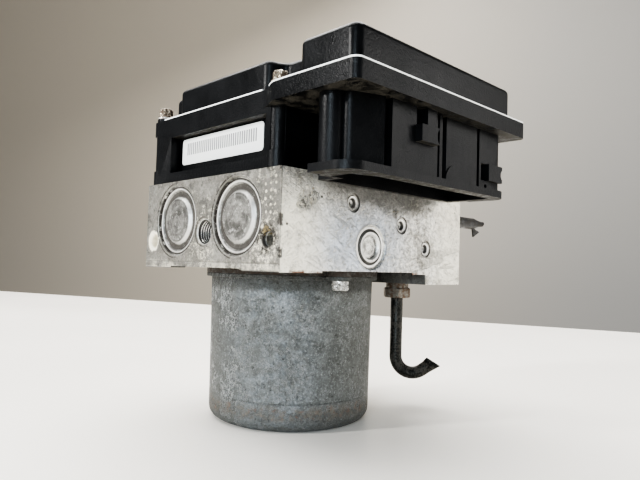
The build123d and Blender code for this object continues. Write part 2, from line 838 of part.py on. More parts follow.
# ---- control housing: coil chamber, tray and connector tower moulded in one
column_places = housing_screws_at
recess_left = label_recess_left - housing_half_width
recess_right = housing_half_width - label_recess_right
socket_left = tower_left + socket_wall
socket_right = tower_right - socket_panel_wall
rim_start = tower_left + rim_left
with BuildPart() as control_housing:
    plate(
        top_face,
        tray_base,
        (-housing_half_width, -block_front),
        (housing_half_width, housing_back),
    )
    plate(
        top_face,
        tray_base,
        (-housing_half_width + housing_wall, -chamber_front),
        (housing_half_width - housing_wall, chamber_back),
        mode=Mode.SUBTRACT,
    )
    plate(
        top_face,
        label_recess_high,
        (core_inset - housing_half_width, chamber_back + housing_wall),
        (housing_half_width - core_inset, housing_back - housing_wall),
        mode=Mode.SUBTRACT,
    )
    for right, depth in (
        (recess_right, label_recess_depth),
        (recess_left + label_groove_width, label_groove_depth),
    ):
        plate(
            top_face.offset(label_recess_low),
            label_recess_high - label_recess_low,
            (recess_left, -block_front),
            (right, depth - block_front),
            mode=Mode.SUBTRACT,
        )
    for side, sign in side_names:
        plate(
            top_face,
            tray_base,
            (min(sign * screw_reach, sign * housing_half_width), -block_front),
            (max(sign * screw_reach, sign * housing_half_width), housing_corner - block_front),
            mode=Mode.SUBTRACT,
        )
    with BuildSketch(Plane.XY.offset(rim_low)) as tower_section:
        with BuildLine():
            Polyline(*tower_outline, close=True)
        make_face()
        fillet(
            tower_section.vertices().group_by(Axis.X)[-1].sort_by(Axis.Y)[-1],
            radius=tower_corner,
        )
        fillet(
            tower_section.vertices().group_by(Axis.Y)[0].sort_by(Axis.X)[-1],
            radius=tower_ridge_radius,
        )
        with Locations((tower_left + tower_column_x, -tower_column_y)):
            Circle(tower_column_radius)
    extrude(amount=tower_drop)
    with BuildSketch(Plane.XY.offset(rim_low)) as rim_section:
        with Locations(((rim_start + tower_right + rim_proud) / 2, (rim_back - rim_front) / 2)):
            Rectangle(tower_right + rim_proud - rim_start, rim_back + rim_front)
        fillet(rim_section.vertices().group_by(Axis.X)[-1], radius=rim_corner)
    extrude(amount=rim_height)
    with BuildSketch(Plane.XY.offset(tray_low)):
        add(tray_outline.sketch)
    extrude(amount=tray_height)
    with BuildSketch(Plane.XY.offset(tray_deck)):
        add(hollow_outline.sketch)
    extrude(amount=tray_height, mode=Mode.SUBTRACT)
    for y in web_places:
        plate(
            top_face,
            tray_base,
            (housing_half_width, y - web_thickness / 2),
            (tower_left, y + web_thickness / 2),
        )
    with BuildSketch(Plane.XY.offset(rim_low)):
        with BuildLine():
            Polyline(
                (socket_left, socket_wall - tower_step_back),
                (tower_front_left + socket_wall, socket_wall - tower_step_back),
                (tower_front_left + socket_wall, -socket_front),
                (tower_ridge - socket_wall, -socket_front),
                (socket_right, -tower_panel_end),
                (socket_right, socket_back),
                (socket_left, socket_back),
                close=True,
            )
        make_face()
    extrude(amount=tower_drop - socket_roof, mode=Mode.SUBTRACT)
    for low, high in tower_slots:
        plate(
            Plane.XY.offset(rim_low + rim_height),
            tower_drop - rim_height,
            (tower_right - slot_depth, low),
            (tower_right, high),
            mode=Mode.SUBTRACT,
        )
    clip_low = tray_low - clip_arm_height
    rear_clip_low = rim_low + rear_clip_rise
    plate(
        Plane.XY.offset(clip_low),
        clip_arm_height,
        (tower_right - slot_depth, clip_front - clip_slot_width),
        (tower_right, clip_front),
        mode=Mode.SUBTRACT,
    )
    plate(
        Plane.XY.offset(rear_clip_low),
        rear_clip_height,
        (tower_right - slot_depth, rear_clip_front - rear_clip_slot),
        (tower_right, rear_clip_front),
        mode=Mode.SUBTRACT,
    )
    plate(
        Plane.XY.offset(clip_low),
        clip_arm_height,
        (tower_right - slot_depth, clip_front),
        (tower_right + clip_arm_proud, clip_back),
    )
    for low, height, front, back, hollow, proud in (
        (clip_low - clip_hook_height, clip_hook_height, clip_hook_front, clip_hook_back,
         clip_hook_hollow, clip_hook_proud),
        (rear_clip_low, rear_clip_height, rear_clip_front, rear_clip_back,
         rear_clip_hollow, rear_clip_proud),
    ):
        with BuildSketch(tower_face):
            with Locations(((front + back) / 2, low + height / 2)):
                Rectangle(back - front, height)
            with Locations((back + hollow / 2, low + height / 2)):
                Circle(hollow, mode=Mode.SUBTRACT)
        extrude(amount=proud)
    with BuildSketch(tower_face):
        with Locations((disc_y, rim_low + rim_height)):
            Circle(disc_radius)
        with Locations((disc_y, rim_low)):
            Rectangle(2 * disc_radius, 2 * rim_height, mode=Mode.SUBTRACT)
    extrude(amount=disc_proud)
    drilled(tower_face, [(peg_hole_y, rim_low + rim_height + peg_hole_radius)], peg_hole_radius, slot_depth)
    with BuildSketch(top_face):
        with Locations(*column_places):
            Circle(column_radius)
    extrude(amount=tray_base + tray_height + column_top)
    with BuildSketch(top_face):
        with Locations(*column_places):
            Circle(column_foot_radius)
    extrude(amount=column_foot_height)
    drilled(
        Plane.XY.offset(tray_top + column_top),
        column_places,
        bush_radius,
        tray_base + tray_height + column_top,
    )
    for y in valve_lines:
        plate(
            Plane.XY.offset(tray_low),
            tray_floor,
            (-valve_window_half, y + coil_lead_reach - coil_lead_spread / 2),
            (valve_window_half, y + coil_lead_reach + coil_lead_spread / 2),
            mode=Mode.SUBTRACT,
        )
    drilled(Plane.XY.offset(tray_deck), [(0, contact_y)], contact_radius, tray_floor)
    drilled(Plane.XY.offset(tray_deck), [(0, sensor_front)], sensor_radius, tray_floor)
    with BuildSketch(Plane.XY.offset(tray_deck)):
        with Locations(*board_posts):
            Circle(board_post_radius)
    extrude(amount=board_lift)
    with BuildSketch(top_face):
        with Locations((0, (chamber_back - chamber_front) / 2)):
            Rectangle(gasket_width_x + gasket_width, gasket_width_y + gasket_width)
            Rectangle(
                gasket_width_x - gasket_width,
                gasket_width_y - gasket_width,
                mode=Mode.SUBTRACT,
            )
    extrude(amount=gasket_height, mode=Mode.SUBTRACT)
finish(control_housing, "control_housing")

with BuildPart() as base_gasket:
    with BuildSketch(top_face):
        with Locations((0, (chamber_back - chamber_front) / 2)):
            Rectangle(gasket_width_x + gasket_width, gasket_width_y + gasket_width)
            Rectangle(
                gasket_width_x - gasket_width,
                gasket_width_y - gasket_width,
                mode=Mode.SUBTRACT,
            )
    extrude(amount=gasket_height)
finish(base_gasket, "base_gasket")

# ---- seal under the lid, open round the corner screws
with BuildPart() as lid_seal:
    with BuildSketch(Plane.XY.offset(tray_top)):
        add(tray_outline.sketch)
        add(hollow_outline.sketch, mode=Mode.SUBTRACT)
        with Locations(*housing_screws_at):
            Rectangle(2 * seal_notch, 2 * seal_notch, mode=Mode.SUBTRACT)
    extrude(amount=seal_thickness)
finish(lid_seal, "lid_seal")

# ---- lid: a hollow dome on a thin foot, stepped back round the front screws
with BuildPart() as control_lid:
    with BuildSketch(Plane.XY.offset(lid_low + lid_foot)):
        add(lid_outline.sketch)
    extrude(amount=lid_height)
    fillet(control_lid.faces().sort_by(Axis.Z)[-1].edges(), radius=lid_edge)
    with BuildSketch(Plane.XY.offset(lid_low)):
        add(offset(lid_outline.sketch, lid_inset_side - lid_foot_inset, mode=Mode.PRIVATE))
    extrude(amount=lid_foot)
    with BuildSketch(Plane.XY.offset(lid_low)):
        add(offset(lid_outline.sketch, -lid_wall, mode=Mode.PRIVATE))
    extrude(amount=lid_foot + lid_height - lid_wall, mode=Mode.SUBTRACT)
finish(control_lid, "control_lid")

# ---- circuit board and what stands on it
with BuildPart() as circuit_board:
    with BuildSketch(Plane.XY.offset(board_low)):
        add(offset(hollow_outline.sketch, -board_margin, mode=Mode.PRIVATE))
    extrude(amount=board_thickness)
finish(circuit_board, "circuit_board")

with BuildPart() as board_parts:
    for x, y, width, depth, height in board_packages:
        plate(
            Plane.XY.offset(board_top),
            height,
            (x - width / 2, y - depth / 2),
            (x + width / 2, y + depth / 2),
        )
    turned(
        Plane.XY.offset(board_top),
        board_cans,
        [(0, 0), (board_can_radius, 0), (board_can_radius, board_can_height), (0, board_can_height)],
    )
finish(board_parts, "board_parts")

# ---- connector pins, moulded through the socket roof and pressed into the board
socket_x = (socket_left + socket_right) / 2
with BuildPart() as connector_pins:
    pin_plane = Plane.XY.offset(tray_low - socket_roof - pin_length)
    with BuildSketch(pin_plane):
        with Locations((socket_x, pin_field_y)):
            with GridLocations(pin_pitch_x, pin_pitch_y, pin_rows, pin_row_size):
                Rectangle(pin_width, pin_width)
        with Locations((socket_x, blade_y)):
            with GridLocations(2 * pin_pitch_x, 1, 2, 1):
                Rectangle(blade_width, pin_width)
    extrude(amount=pin_length + socket_roof + tray_floor + board_lift + board_thickness + lead_stub)
finish(connector_pins, "connector_pins")

# ---- corner screws and the bushes they clamp
with BuildPart() as screw_bushes:
    turned(
        top_face,
        housing_screws_at,
        [
            (screw_radius + seat_gap, 0),
            (bush_radius, 0),
            (bush_radius, tray_base + tray_height + column_top),
            (bush_head_radius, tray_base + tray_height + column_top),
            (bush_head_radius, tray_base + tray_height + column_top + bush_head),
            (screw_radius + seat_gap, tray_base + tray_height + column_top + bush_head),
        ],
    )
finish(screw_bushes, "screw_bushes")

screw_seat = Plane.XY.offset(tray_top + column_top + bush_head)
with BuildPart() as housing_screws:
    turned(
        screw_seat,
        housing_screws_at,
        [
            (0, -screw_reach_down),
            (screw_radius, -screw_reach_down),
            (screw_radius, 0),
            (screw_flange_radius, 0),
            (screw_flange_radius, screw_flange),
            (0, screw_flange),
        ],
    )
    with BuildSketch(screw_seat.offset(screw_flange)):
        with Locations(*housing_screws_at):
            with PolarLocations(screw_head_radius - screw_lobe_radius, 6):
                Circle(screw_lobe_radius)
            RegularPolygon(screw_head_radius - screw_lobe_radius, 6)
    extrude(amount=screw_head_height)
finish(housing_screws, "housing_screws")

# ---- label in the front recess, left bare
label_left = recess_left + label_groove_width + label_margin_left
label_width = recess_right - label_margin_right - label_left
with BuildPart() as label:
    with BuildSketch(
        Plane(
            (0, label_recess_depth - block_front, block_top + label_rise),
            x_dir=(1, 0, 0),
            z_dir=(0, -1, 0),
        )
    ):
        with Locations((label_left + label_width / 2, label_height / 2)):
            RectangleRounded(label_width, label_height, label_corner)
    extrude(amount=label_thickness)
finish(label, "label")

# ---- motor can and end plate
with BuildPart() as motor_can:
    turned(
        Plane.XY,
        [(0, 0)],
        [(0, 0), (can_base_radius, 0), (can_radius, flange_low), (0, flange_low)],
    )
    fillet(motor_can.edges().group_by(Axis.Z)[0], radius=can_edge)
    with BuildSketch(Plane.XY.offset(flange_low)):
        Circle(flange_radius)
        with PolarLocations(motor_screw_reach, 2, motor_screw_angle):
            Circle(motor_lug_radius)
        with PolarLocations(motor_screw_reach - motor_lug_radius, 2, motor_screw_angle):
            Rectangle(2 * motor_lug_radius, 2 * motor_lug_radius)
    extrude(amount=flange_thickness)
    can_bore = can_base_radius - can_wall
    turned(
        Plane.XY,
        [(0, 0)],
        [
            (0, can_wall),
            (bearing_radius, can_wall),
            (bearing_radius, can_wall + bearing_height),
            (bearing_radius + can_wall, can_wall + bearing_height),
            (bearing_radius + can_wall, can_wall),
            (can_bore - can_edge + can_wall, can_wall),
            (can_bore, can_edge),
            (can_bore, plate_low),
            (0, plate_low),
        ],
        mode=Mode.SUBTRACT,
    )
    drilled(
        Plane.XY.offset(plate_low),
        motor_screws_at,
        motor_screw_radius + seat_gap,
        flange_thickness,
    )
finish(motor_can, "motor_can")

with BuildPart() as motor_end_plate:
    with BuildSketch(Plane.XY.offset(plate_low)):
        Circle(flange_radius)
        with PolarLocations(motor_screw_reach, 2, motor_screw_angle):
            Circle(motor_lug_radius)
        with PolarLocations(motor_screw_reach - motor_lug_radius, 2, motor_screw_angle):
            Rectangle(2 * motor_lug_radius, 2 * motor_lug_radius)
    extrude(amount=end_plate_thickness)
    with BuildSketch(Plane.XY.offset(relief_top)):
        Circle(spigot_radius)
    extrude(amount=spigot_height)
    turned(
        Plane.XY.offset(plate_low),
        [(0, 0)],
        [
            (0, 0),
            (bearing_radius, 0),
            (bearing_radius, bearing_height),
            (bearing_radius - can_wall, bearing_height),
            (bearing_radius - can_wall, end_plate_thickness + spigot_height),
            (0, end_plate_thickness + spigot_height),
        ],
        mode=Mode.SUBTRACT,
    )
    turned(
        Plane.XY.offset(relief_top),
        [(0, 0)],
        [
            (motor_seal_radius, 0),
            (motor_seal_radius + motor_seal_width, 0),
            (motor_seal_radius + motor_seal_width, -motor_seal_height),
            (motor_seal_radius, -motor_seal_height),
        ],
        mode=Mode.SUBTRACT,
    )
    drilled(
        Plane.XY.offset(relief_top),
        motor_screws_at,
        motor_screw_radius + seat_gap,
        end_plate_thickness,
    )
    drilled(
        Plane.XY.offset(relief_top),
        [(0, contact_y)],
        contact_radius + seat_gap,
        end_plate_thickness,
    )
finish(motor_end_plate, "motor_end_plate")

with BuildPart() as motor_seal:
    turned(
        Plane.XY.offset(relief_top),
        [(0, 0)],
        [
            (motor_seal_radius, 0),
            (motor_seal_radius + motor_seal_width, 0),
            (motor_seal_radius + motor_seal_width, -motor_seal_height),
            (motor_seal_radius, -motor_seal_height),
        ],
    )
finish(motor_seal, "motor_seal")

with BuildPart() as motor_screws:
    turned(
        Plane.XY.offset(flange_low),
        motor_screws_at,
        [
            (0, -motor_screw_head),
            (motor_screw_head_radius, -motor_screw_head),
            (motor_screw_head_radius, 0),
            (motor_screw_radius, 0),
            (motor_screw_radius, flange_thickness + end_plate_thickness + motor_screw_grip),
            (0, flange_thickness + end_plate_thickness + motor_screw_grip),
        ],
    )
    with BuildSketch(Plane.XY.offset(flange_low - motor_screw_head)):
        with Locations(*motor_screws_at):
            RegularPolygon(motor_screw_radius - 2 * screw_lobe_radius, 6)
    extrude(amount=motor_screw_head / 2, mode=Mode.SUBTRACT)
finish(motor_screws, "motor_screws")

# ---- magnets, armature, commutator and shaft; the brush gear hangs from the end plate
holder_base = plate_low - holder_gap - holder_thickness
brush_base = holder_base - brush_height
commutator_base = brush_base - (commutator_height - brush_height) / 2
armature_base = can_wall + bearing_height + armature_lift + winding_height
armature_height = commutator_base - winding_height - armature_base
magnet_inner_radius = can_bore - magnet_thickness
magnet_base = armature_base - magnet_overhang
magnet_height = armature_height + 2 * magnet_overhang
for side, heading in (("front", 270), ("rear", 90)):
    with BuildPart() as motor_magnet:
        with BuildSketch(Plane.XY.offset(magnet_base)):
            with BuildLine():
                outer = CenterArc(
                    (0, 0), can_bore, heading - magnet_half_angle, 2 * magnet_half_angle
                )
                inner = CenterArc(
                    (0, 0), magnet_inner_radius, heading - magnet_half_angle, 2 * magnet_half_angle
                )
                Line(outer @ 0, inner @ 0)
                Line(outer @ 1, inner @ 1)
            make_face()
        extrude(amount=magnet_height)
    finish(motor_magnet, "motor_magnet_" + side)

armature_radius = magnet_inner_radius - armature_gap
winding_radius = armature_radius - armature_slot_depth / 3
with BuildPart() as armature:
    with BuildSketch(Plane.XY.offset(armature_base)):
        Circle(armature_radius)
        with PolarLocations(armature_radius - armature_slot_depth / 2, armature_slots):
            Rectangle(armature_slot_depth + 1, armature_slot_width, mode=Mode.SUBTRACT)
    extrude(amount=armature_height)
    with BuildSketch(Plane.XY.offset(armature_base - winding_height)):
        Circle(winding_radius)
    extrude(amount=winding_height)
    with BuildSketch(Plane.XY.offset(armature_base + armature_height)):
        Circle(winding_radius)
    extrude(amount=winding_height)
    drilled(
        Plane.XY.offset(armature_base + armature_height + winding_height),
        [(0, 0)],
        shaft_radius,
        armature_height + 2 * winding_height,
    )
finish(armature, "armature")

with BuildPart() as commutator:
    with BuildSketch(Plane.XY.offset(commutator_base)):
        Circle(commutator_radius)
        with PolarLocations(commutator_radius, armature_slots):
            Rectangle(commutator_groove, commutator_groove, mode=Mode.SUBTRACT)
        Circle(shaft_radius, mode=Mode.SUBTRACT)
    extrude(amount=commutator_height)
finish(commutator, "commutator")

shaft_base = can_wall + stroke_gap
shaft_top = pump_level + eccentric_length / 2 + stroke_gap
with BuildPart() as motor_shaft:
    with BuildSketch(Plane.XY.offset(shaft_base)):
        Circle(shaft_radius)
    extrude(amount=shaft_top - shaft_base)
finish(motor_shaft, "motor_shaft")

# ---- eccentric and its bearing, which push the pump pistons out in turn
with BuildPart() as eccentric:
    with BuildSketch(Plane.XY.offset(pump_level - eccentric_length / 2)):
        with Locations((0, eccentricity)):
            Circle(eccentric_radius)
        Circle(shaft_radius, mode=Mode.SUBTRACT)
    extrude(amount=eccentric_length)
finish(eccentric, "eccentric")

with BuildPart() as eccentric_bearing:
    with BuildSketch(Plane.XY.offset(pump_level - eccentric_length / 2)):
        with Locations((0, eccentricity)):
            Circle(eccentric_bearing_radius)
            Circle(eccentric_radius, mode=Mode.SUBTRACT)
    extrude(amount=eccentric_length)
finish(eccentric_bearing, "eccentric_bearing")

with BuildPart() as motor_bearings:
    for level in (can_wall, plate_low):
        with BuildSketch(Plane.XY.offset(level)):
            Circle(bearing_radius)
            Circle(shaft_radius + running_gap, mode=Mode.SUBTRACT)
        extrude(amount=bearing_height)
finish(motor_bearings, "motor_bearings")

# ---- brushes, their springs and the ring that holds them
brush_inner = commutator_radius + stroke_gap
brush_outer = brush_inner + brush_length
with BuildPart() as brushes:
    for side, sign in side_names:
        plate(
            Plane.XY.offset(brush_base),
            brush_height,
            (min(sign * brush_inner, sign * brush_outer), -brush_width / 2),
            (max(sign * brush_inner, sign * brush_outer), brush_width / 2),
        )
finish(brushes, "brushes")

with BuildPart() as brush_springs:
    for side, sign in side_names:
        spring_plane = Plane(
            (0, 0, brush_base + brush_height / 2), x_dir=(0, sign, 0), z_dir=(sign, 0, 0)
        )
        wound(
            spring_plane,
            brush_spring_radius,
            brush_spring_wire,
            brush_spring_turns,
            brush_outer,
            brush_outer + brush_spring_length,
        )
finish(brush_springs, "brush_springs")

box_end = brush_outer + brush_spring_length
with BuildPart() as brush_holder:
    with BuildSketch(Plane.XY.offset(holder_base)):
        Circle(can_bore)
        Circle(commutator_radius + can_wall, mode=Mode.SUBTRACT)
    extrude(amount=holder_thickness)
    for side, sign in side_names:
        for low, high in (
            (brush_width / 2 + seat_gap, brush_width / 2 + seat_gap + holder_thickness),
            (-brush_width / 2 - seat_gap - holder_thickness, -brush_width / 2 - seat_gap),
        ):
            plate(
                Plane.XY.offset(brush_base),
                brush_height,
                (min(sign * (brush_inner + can_wall), sign * box_end), low),
                (max(sign * (brush_inner + can_wall), sign * box_end), high),
            )
        plate(
            Plane.XY.offset(brush_base),
            brush_height,
            (min(sign * box_end, sign * (box_end + holder_thickness)), -brush_width / 2),
            (max(sign * box_end, sign * (box_end + holder_thickness)), brush_width / 2),
        )
finish(brush_holder, "brush_holder")

# ---- motor contact: a post through the valve block with two blades up to the board
contact_base = holder_base + holder_thickness
with BuildPart() as motor_contact:
    turned(
        Plane.XY.offset(contact_base),
        [(0, contact_y)],
        [
            (0, 0),
            (contact_radius, 0),
            (contact_radius, block_top + contact_stand - contact_base),
            (0, block_top + contact_stand - contact_base),
        ],
    )
    with BuildSketch(Plane.XY.offset(block_top + contact_stand)):
        with Locations((0, contact_y)):
            with GridLocations(2 * contact_blade, 1, 2, 1):
                Rectangle(contact_blade, pin_width)
    extrude(amount=board_top + lead_stub - block_top - contact_stand)
finish(motor_contact, "motor_contact")

# ---- brake pipes with their nuts
for name, face, place in (
    ("front_nut", under_foot, (supply_port_reach, -supply_port_y)),
    ("rear_nut", back_face, (-rear_pipe_x, wheel_port_level)),
):
    with BuildPart() as pipe_nut:
        turned(
            face,
            [place],
            [
                (0, -pipe_entry),
                (port_radius - nut_thread_gap, -pipe_entry),
                (port_radius - nut_thread_gap, 0),
                (nut_collar_radius, 0),
                (nut_collar_radius, nut_collar),
                (0, nut_collar),
            ],
        )
        with BuildSketch(face.offset(nut_collar)):
            with Locations(place):
                RegularPolygon(nut_flats / 2, 6, major_radius=False, rotation=nut_turn)
        extrude(amount=nut_hex)
        drilled(face.offset(nut_collar + nut_hex), [place], pipe_radius, pipe_entry + nut_collar + nut_hex)
    finish(pipe_nut, name)

heading = math.radians(front_pipe_heading)
turn = math.radians(front_pipe_turn)
out = Vector(math.cos(heading), math.sin(heading), 0)
down = Vector(0, 0, -1)
pipe_start = Vector(supply_port_reach, supply_port_y, foot_base + pipe_entry)
bend_start = Vector(supply_port_reach, supply_port_y, front_pipe_low)
bend_centre = bend_start + out * front_pipe_bend
bend_middle = bend_centre + (down * math.sin(turn / 2) - out * math.cos(turn / 2)) * front_pipe_bend
bend_end = bend_centre + (down * math.sin(turn) - out * math.cos(turn)) * front_pipe_bend
tail = down * math.cos(turn) + out * math.sin(turn)
tail_end = bend_end + tail * front_pipe_tail
with BuildPart() as front_pipe:
    with BuildLine() as route:
        Line(pipe_start, bend_start)
        ThreePointArc(bend_start, bend_middle, bend_end)
        Line(bend_end, tail_end)
    with BuildSketch(Plane(origin=pipe_start, x_dir=out.cross(down), z_dir=down)):
        Circle(pipe_radius)
        Circle(pipe_bore_radius, mode=Mode.SUBTRACT)
    sweep(path=route.line)
    pinched(Plane(origin=tail_end, x_dir=out.cross(down), z_dir=tail), pinch_slant)
finish(front_pipe, "front_pipe")

stub_plane = Plane(
    (rear_pipe_x, block_back - pipe_entry, wheel_port_level), x_dir=(0, 0, 1), z_dir=(0, 1, 0)
)
with BuildPart() as rear_pipe:
    with BuildSketch(stub_plane):
        Circle(pipe_radius)
        Circle(pipe_bore_radius, mode=Mode.SUBTRACT)
    extrude(amount=pipe_entry + rear_pipe_length)
    pinched(stub_plane.offset(pipe_entry + rear_pipe_length), -pinch_slant)
    burr_root = (block_back + rear_pipe_length, wheel_port_level - pipe_radius + burr_thickness)
    with BuildSketch(Plane((rear_pipe_x - burr_thickness / 2, 0, 0), x_dir=(0, 1, 0), z_dir=(1, 0, 0))):
        with BuildLine():
            Polyline(
                burr_root,
                (burr_root[0] + burr_length, burr_root[1] - burr_width / 2),
                (burr_root[0] + burr_thickness, burr_root[1] - burr_width - burr_thickness),
                close=True,
            )
        make_face()
    extrude(amount=burr_thickness)
finish(rear_pipe, "rear_pipe")
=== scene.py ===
import bpy, bmesh, json, math
import numpy as np
from functools import reduce
from mathutils import Matrix, Vector


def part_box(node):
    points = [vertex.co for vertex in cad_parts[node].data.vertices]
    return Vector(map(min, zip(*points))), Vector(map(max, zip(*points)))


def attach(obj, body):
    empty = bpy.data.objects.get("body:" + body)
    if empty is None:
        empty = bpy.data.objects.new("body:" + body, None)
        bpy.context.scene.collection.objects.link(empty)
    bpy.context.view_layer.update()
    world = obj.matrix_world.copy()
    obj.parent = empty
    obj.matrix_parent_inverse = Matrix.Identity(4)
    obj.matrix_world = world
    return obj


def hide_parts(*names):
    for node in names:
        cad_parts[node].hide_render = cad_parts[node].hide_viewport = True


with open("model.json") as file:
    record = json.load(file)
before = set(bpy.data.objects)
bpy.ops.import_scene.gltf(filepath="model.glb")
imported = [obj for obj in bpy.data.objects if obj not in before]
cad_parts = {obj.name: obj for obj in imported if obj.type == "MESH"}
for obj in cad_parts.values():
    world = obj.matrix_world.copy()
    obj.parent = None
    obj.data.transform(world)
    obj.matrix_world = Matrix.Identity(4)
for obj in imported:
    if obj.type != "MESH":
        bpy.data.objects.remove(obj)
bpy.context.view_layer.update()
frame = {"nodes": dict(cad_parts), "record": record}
nodes = frame["nodes"]
scene = bpy.context.scene
scene.view_settings.look = "AgX - High Contrast"
mm = 0.001
print("model loaded:", len(nodes), "pieces")


# plain arithmetic on a wire adds Math nodes; a wire is an output socket of one finish
class Wire:
    def __init__(self, finish, socket):
        self.finish = finish
        self.socket = socket

    def join(self, operation, a, b=0.0):  # one Math node on two values or wires
        return self.finish.node("ShaderNodeMath", {"operation": operation}, {0: a, 1: b})

    def __add__(self, other):
        return self.join("ADD", self, other)

    def __radd__(self, other):
        return self.join("ADD", other, self)

    def __sub__(self, other):
        return self.join("SUBTRACT", self, other)

    def __rsub__(self, other):
        return self.join("SUBTRACT", other, self)

    def __mul__(self, other):
        return self.join("MULTIPLY", self, other)

    def __rmul__(self, other):
        return self.join("MULTIPLY", other, self)

    def top(self, other):  # the larger of the two
        return self.join("MAXIMUM", self, other)

    def least(self, other):  # the smaller of the two
        return self.join("MINIMUM", self, other)

    def off(self, other):  # how far the two are apart
        return self.join("ABSOLUTE", self - other)


def most(wires):  # the largest of several wires
    return reduce(Wire.top, wires)


def nearest(wires):  # the smallest of several wires
    return reduce(Wire.least, wires)


# one material: its nodes, its shader, the place it is measured from and the shade laid on so far
class Finish:
    def __init__(self, name, **constants):
        self.material = bpy.data.materials.new(name)
        self.material.use_nodes = True
        self.tree = self.material.node_tree
        self.shader = self.tree.nodes["Principled BSDF"]
        for key, value in constants.items():
            self.shader.inputs[key.replace("_", " ")].default_value = value
        spot = self.tree.nodes.new("ShaderNodeTexCoord")
        self.place = Wire(self, spot.outputs["Object"])
        self.facing = Wire(self, spot.outputs["Normal"])
        self.shade = None

    def node(self, kind, settings=None, sockets=None, output=0):  # settings first, then values or links
        made = self.tree.nodes.new(kind)
        for key, value in (settings or {}).items():
            setattr(made, key, value)
        for key, value in (sockets or {}).items():
            if isinstance(value, Wire):
                self.tree.links.new(value.socket, made.inputs[key])
            else:
                made.inputs[key].default_value = value
        return Wire(self, made.outputs[output])

    def noise(self, scale, detail=4.0, roughness=0.55, stretch=None, turn=None):  # 0..1, scale per metre
        where = self.place
        if turn:
            where = self.node("ShaderNodeMapping", {}, {"Vector": where, "Rotation": turn})
        if stretch:
            where = self.node("ShaderNodeVectorMath", {"operation": "MULTIPLY"}, {0: where, 1: stretch})
        sockets = {"Vector": where, "Scale": scale, "Detail": detail, "Roughness": roughness}
        return self.node("ShaderNodeTexNoise", {}, sockets, "Fac")

    def cells(self, scale, output="Distance", randomness=1.0):  # a scatter of points, scale per metre
        sockets = {"Vector": self.place, "Scale": scale, "Randomness": randomness}
        return self.node("ShaderNodeTexVoronoi", {}, sockets, output)

    def ramp(self, value, low, high):  # 0 at low, 1 at high, smooth between; low may be above high
        return self.node("ShaderNodeMapRange", {"interpolation_type": "SMOOTHSTEP"},
                         {"Value": value, "From Min": low, "From Max": high, "To Min": 0.0, "To Max": 1.0})

    def band(self, value, low, high, soft):  # 1 between low and high, soft at both ends
        return self.ramp(value, low - soft, low + soft) * self.ramp(value, high + soft, high - soft)

    def part(self, axis, of=None):  # one coordinate of the place
        return self.node("ShaderNodeSeparateXYZ", {}, {0: of or self.place}, axis)

    def away(self, centre, axis):  # distance from a straight line along the axis through a centre
        keep = tuple(0.0 if i == axis else 1.0 for i in range(3))
        gap = self.node("ShaderNodeVectorMath", {"operation": "SUBTRACT"}, {0: self.place, 1: tuple(centre)})
        flat = self.node("ShaderNodeVectorMath", {"operation": "MULTIPLY"}, {0: gap, 1: keep})
        return self.node("ShaderNodeVectorMath", {"operation": "LENGTH"}, {0: flat}, 1)

    def mix(self, factor, a, b):  # colour a where the factor is 0, colour b where it is 1
        colour = [(*c, 1.0) if isinstance(c, tuple) else c for c in (a, b)]
        return self.node("ShaderNodeMix", {"data_type": "RGBA"}, {0: factor, 6: colour[0], 7: colour[1]}, 2)

    def cover(self, mask, colour):  # lays a colour over the shade so far, where the mask says
        self.shade = self.mix(mask, self.shade, colour)

    def set(self, socket, wire):  # feeds one socket of the shader
        self.tree.links.new(wire.socket, self.shader.inputs[socket])

    def bump(self, height, distance, strength=1.0):  # height in 0..1, distance in metres
        return self.node("ShaderNodeBump", {}, {"Height": height, "Distance": distance, "Strength": strength})


# an even finish: colour, gloss and height drift a little with one fine cloud
def plainFinish(name, colour, metallic, roughness, scale=400.0, depth=0.00003, spread=0.25):
    f = Finish(name, Metallic=metallic)
    cloud = f.noise(scale, 5.0)
    dark = tuple(c * (1 - spread) for c in colour)
    light = tuple(min(1.0, c * (1 + spread)) for c in colour)
    f.set("Base Color", f.mix(cloud, dark, light))
    f.set("Roughness", roughness * 0.8 + cloud * (roughness * 0.4))
    f.set("Normal", f.bump(cloud, depth, 0.5))
    return f.material


innerFinishes = {  # colour, metal and roughness
    "innerSteel": ((0.52, 0.53, 0.55), 1.0, 0.32),
    "springSteel": ((0.38, 0.38, 0.40), 1.0, 0.30),
    "innerAlloy": ((0.68, 0.69, 0.70), 1.0, 0.35),
    "coilPlastic": ((0.035, 0.035, 0.04), 0.0, 0.50),
    "darkRubber": ((0.025, 0.025, 0.025), 0.0, 0.75),
    "boardLaminate": ((0.02, 0.11, 0.05), 0.0, 0.45),
    "chipPlastic": ((0.025, 0.025, 0.028), 0.0, 0.45),
    "contactTin": ((0.62, 0.55, 0.42), 1.0, 0.35),
    "magnetIron": ((0.07, 0.07, 0.075), 0.2, 0.60),
    "carbonBlock": ((0.03, 0.03, 0.032), 0.1, 0.65),
    "holderPlastic": ((0.07, 0.065, 0.06), 0.0, 0.55),
}
inner = {name: plainFinish(name, *values) for name, values in innerFinishes.items()}
print("inner finishes made")


def middleOf(name):  # the centre of a CAD piece's box
    low, high = (Vector(c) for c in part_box(name))
    return (low + high) / 2


lowBlock, highBlock = (Vector(c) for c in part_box("valve_block"))
mounts = {mount["name"]: mount["pos_m"] for mount in frame["record"]["mounts"]}
wheelPorts = [place for name, place in mounts.items() if name.startswith("wheel_port")]
capCentres = [middleOf("accumulator_cap_" + hand) for hand in ("left", "right")]
plugCentre = middleOf("pump_plug_right")
capRadius = (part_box("accumulator_cap_left")[1][0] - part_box("accumulator_cap_left")[0][0]) / 2


def marksOf(piece):  # where a piece's marks lie, turned from millimetres into metres
    return {mark: tuple(v * mm for v in span) for mark, span in piece["marks"].items()}


